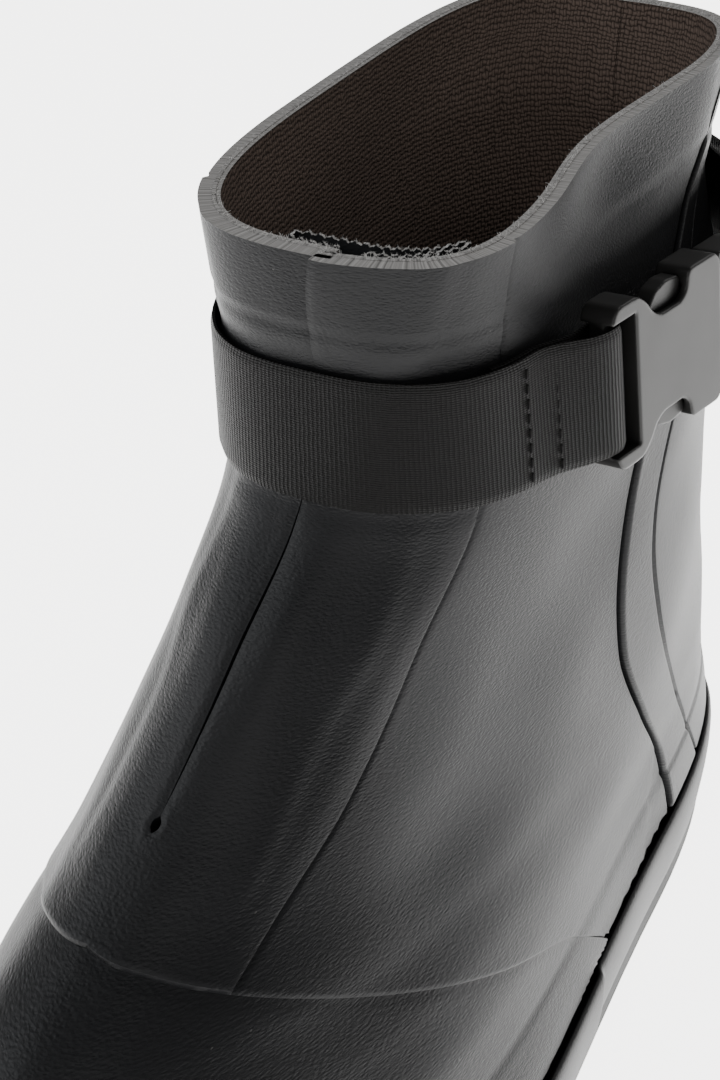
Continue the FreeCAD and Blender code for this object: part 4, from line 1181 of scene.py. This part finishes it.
def on_buckle(along, outward):
    middle = np.array(BUCKLE_ORIGIN + BUCKLE_X * along + BUCKLE_Z * outward)
    across = np.array(BUCKLE_Y) * WEB_HALF
    return middle + across, middle - across


def bar_turn(along, reach, start, end):
    turns = np.radians(np.linspace(start, end, 7))
    return [on_buckle(along + reach * math.cos(a), reach * math.sin(a)) for a in turns]


def ribbon(name, stations, nodes):
    """Webbing with a rounded selvedge through pairs of edge points."""
    high = np.array([station[0] for station in stations])
    low = np.array([station[1] for station in stations])
    middle, marks, chord = smooth_line((high + low) / 2, 0.9)
    across = unit(high - low)
    across = unit(np.stack([np.interp(marks, chord, across[:, k]) for k in range(3)], -1))
    out = unit(np.cross(across, np.gradient(middle, axis=0)))
    profile = []
    for k in range(15):
        v = -1 + 2 * k / 14
        v = math.copysign(abs(v) ** 0.75, v)
        half = WEB_THICK / 2 * (1 - 0.55 * smooth((abs(v) - 0.93) / 0.07)) + 0.07 * bump(
            abs(v) - 0.93, 0.03)
        profile.append((v * WEB_HALF, float(half)))
    ring = profile + [(v, -half) for v, half in reversed(profile)]
    points = np.stack([middle + across * v + out * h for v, h in ring], 1)
    count, rows = points.shape[:2]
    i = np.arange(count - 1)
    faces = []
    for j in range(rows):
        n = (j + 1) % rows
        faces += np.stack([i * rows + n, i * rows + j, (i + 1) * rows + j, (i + 1) * rows + n],
                          -1).tolist()
    faces.append(list(range(rows)))
    faces.append([(count - 1) * rows + j for j in reversed(range(rows))])
    along = np.arange(count)[:, None] * 0.9 + np.zeros((1, rows))
    width = np.array([v for v, _ in ring])[None, :] + 0 * along
    coords = np.stack([along, width, 0 * along], -1)
    obj = make_object(name, points.reshape(-1, 3), faces, [WEBBING], coords=coords, sharp=60)
    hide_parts(*nodes)
    return obj


def make_straps():
    near = WALL_GAP
    front = [on_wall(45, near), on_wall(50, near), on_wall(55, near), on_buckle(-3.5, -2.6)]
    front += bar_turn(2.4, 2.75, -90, 90)
    front += [on_buckle(-3.5, 1.6), on_wall(55, near + 1.9), on_wall(50, near + 1.7),
              on_wall(45, near + 1.6), on_wall(39, near + 1.3), on_wall(33, near + 0.6)]
    front += [on_wall(angle, near) for angle in (25, 15, 5, -5, -15, -25, -35, -45, -58, -75, -95,
                                                 -115, -135, -150, -163, -172, -179)]
    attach(ribbon("strap_webbing_front", front, ["strap_front"]), "boot")
    bar = MALE_START + MALE_LENGTH - 1.5
    rear = [on_wall(angle, near) for angle in (180, 172, 164, 157, 150, 144)]
    rear += [on_buckle(bar + 9, -2.2), on_buckle(bar + 4.5, -2.8)]
    rear += bar_turn(bar, 2.9, -90, -270)
    rear += [on_buckle(bar + 4.5, 2.8), on_buckle(bar + 9, 2.0)]
    rear += [on_wall(145, near + 3.4), on_wall(149, near + 2.9)]
    strap = ribbon("strap_webbing_rear", rear, ["strap_rear"])
    start = Vector(off(np.array(146.0), np.array(WEB_MIDDLE), np.array(0.0)).tolist()) * MM
    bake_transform(strap)


def make_stitches():
    """Two rows of thread across the webbing, before the buckle."""
    points, faces, coords = [], [], []
    for angle, offset in ((50.5, WALL_GAP + 1.75), (56.5, WALL_GAP + 2.2)):
        high, low = on_wall(angle, offset + WEB_THICK / 2 + 0.12)
        across = high - low
        outward = upper_normal(np.array(angle), np.array(WEB_MIDDLE))
        along = unit(np.cross(across, outward))
        count = 8
        for k in range(count):
            start = low + across * (0.06 + 0.88 * k / count)
            run = across * (0.88 / count * 0.74)
            first = len(points)
            for ring in range(9):
                u = ring / 8
                girth = math.sqrt(max(1 - (2 * u - 1) ** 6, 0.02))
                sag = -0.18 * (2 * u - 1) ** 4
                for corner in range(8):
                    turn = corner * math.pi / 4
                    points.append(start + run * u + outward * (0.26 * girth * math.sin(turn) + sag)
                                  + along * 0.36 * girth * math.cos(turn))
                    coords.append((corner * 0.3, u * 2.2, 0))
            faces += tube_faces(first, 9, 8)
            faces.append(tuple(first + c for c in reversed(range(8))))
            faces.append(tuple(first + 64 + c for c in range(8)))
    obj = make_object("strap_stitches", np.array(points), faces, [THREAD], coords=np.array(coords))
    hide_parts("strap_stitching")
    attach(obj, "boot")


def make_loop():
    """Rubber belt loop over the strap at the back."""
    over = STRAP_CLEAR + WEB_THICK + 0.9
    t = spaced(47, 0.5, 1.2, 2, marks=(6, 11, 36, 41), mark_reach=2)
    s = spaced(16, 0.3, 1.2, 1.5)
    height = 142.5 + 47 * t[None, :] + 0 * s[:, None]
    angle = shifted(180 + 0 * height, height, -8 + 16 * s[:, None])
    inside = smooth((height - 148.5) / 4) * smooth((183.5 - height) / 4)
    lift = 0.5 + (over - 0.4) * inside
    edge = np.minimum(8 - np.abs(16 * s[:, None] - 8), 23.5 - np.abs(height - 166))
    outer = off(angle, height, lift + 0.4 + 0.8 * rounded(edge, 0.9))
    inner = off(angle, height, lift)
    obj = closed_sheet("strap_keeper", outer, inner, [UPPER], layout(angle, height))
    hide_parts("strap_loop")
    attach(obj, "boot")


make_straps()
make_stitches()
make_loop()

# ---------------------------------------------------------------- carried-over CAD nodes

FINISHES = {
    "outsole": SOLE_CAD, "heel_pad": SOLE_CAD, "midsole": SOLE_CAD, "insole_board": BOARD,
    "shank": STEEL, "front_backing": PLY, "seam_tape_lateral": PLY,
    "seam_tape_medial": PLY, "toe_puff": PLY, "heel_counter": PLY, "rand_ply_lateral": PLY,
    "rand_ply_medial": PLY,
}
for name, finish in FINISHES.items():
    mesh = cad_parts[name].data
    mesh.materials.clear()
    mesh.materials.append(finish)

# ---------------------------------------------------------------- stage, light and camera


def make_stage():
    mesh = bpy.data.meshes.new("floor")
    reach = 6.0
    mesh.from_pydata([(-reach, -reach, 0), (reach, -reach, 0), (reach, reach, 0),
                      (-reach, reach, 0)], [], [(0, 1, 2, 3)])
    floor = linked("floor", mesh)
    pale, tree, shader = material("floor_paper", (0.93, 0.925, 0.91), 0.8, Emission_Strength=4.4,
                                  Emission_Color=(1, 0.995, 0.985, 1))
    grain = noise(tree, coordinates(tree, (40, 40, 40), None), 1.0)
    tree.links.new(ramp(tree, grain, [(0.3, (0.925, 0.92, 0.905)), (0.7, (0.935, 0.93, 0.915))]),
                   shader.inputs["Base Color"])
    mesh.materials.append(pale)


def area_light(name, place, aim, size, power, colour):
    data = bpy.data.lights.new(name, "AREA")
    data.shape = "RECTANGLE"
    data.size, data.size_y = size
    data.energy = power
    data.color = colour
    lamp = linked(name, data)
    lamp.location = place
    lamp.rotation_euler = (Vector(aim) - Vector(place)).to_track_quat("-Z", "Y").to_euler()


def make_lights():
    world = bpy.data.worlds.new("studio")
    world.use_nodes = True
    world.node_tree.nodes["Background"].inputs["Color"].default_value = (1, 0.995, 0.985, 1)
    world.node_tree.nodes["Background"].inputs["Strength"].default_value = 0.22
    bpy.context.scene.world = world
    boxes = {
        "back": ((0.25, 0.95, 0.95), (0, 0, 0.12), (0.9, 0.7), 4, (1, 0.99, 0.98)),
        "right": ((1.3, 0.35, 0.6), (0, 0.02, 0.12), (0.8, 1.0), 2.5, (1, 0.975, 0.95)),
        "front": ((0.2, -0.9, 0.85), (0, -0.03, 0.12), (0.9, 0.7), 5, (1, 1, 1)),
        "left": ((-1.1, -0.5, 0.75), (0, 0, 0.12), (0.5, 0.9), 9, (0.94, 0.97, 1)),
    }
    for name, (place, aim, size, power, colour) in boxes.items():
        area_light("softbox_" + name, place, aim, size, power, colour)


CAMERA_LENS = 86 + 2 / 3    # mm, for a 36 mm sensor
CAMERA_DISTANCE = 0.52      # metres


def make_camera():
    azimuth, elevation = math.radians(28), math.radians(30)
    back = Vector((math.sin(azimuth) * math.cos(elevation),
                   -math.cos(azimuth) * math.cos(elevation), math.sin(elevation)))
    target = Vector((-6.9 + FRAME_SHIFT[0], 26.1 + FRAME_SHIFT[1], 125)) * MM
    data = bpy.data.cameras.new("camera")
    data.sensor_width = 36
    data.lens = CAMERA_LENS
    data.clip_start = 0.01
    camera = linked("camera", data)
    camera.location = target + back * CAMERA_DISTANCE
    camera.rotation_euler = (-back).to_track_quat("-Z", "Y").to_euler()
    bpy.context.scene.camera = camera


make_stage()
make_lights()
make_camera()
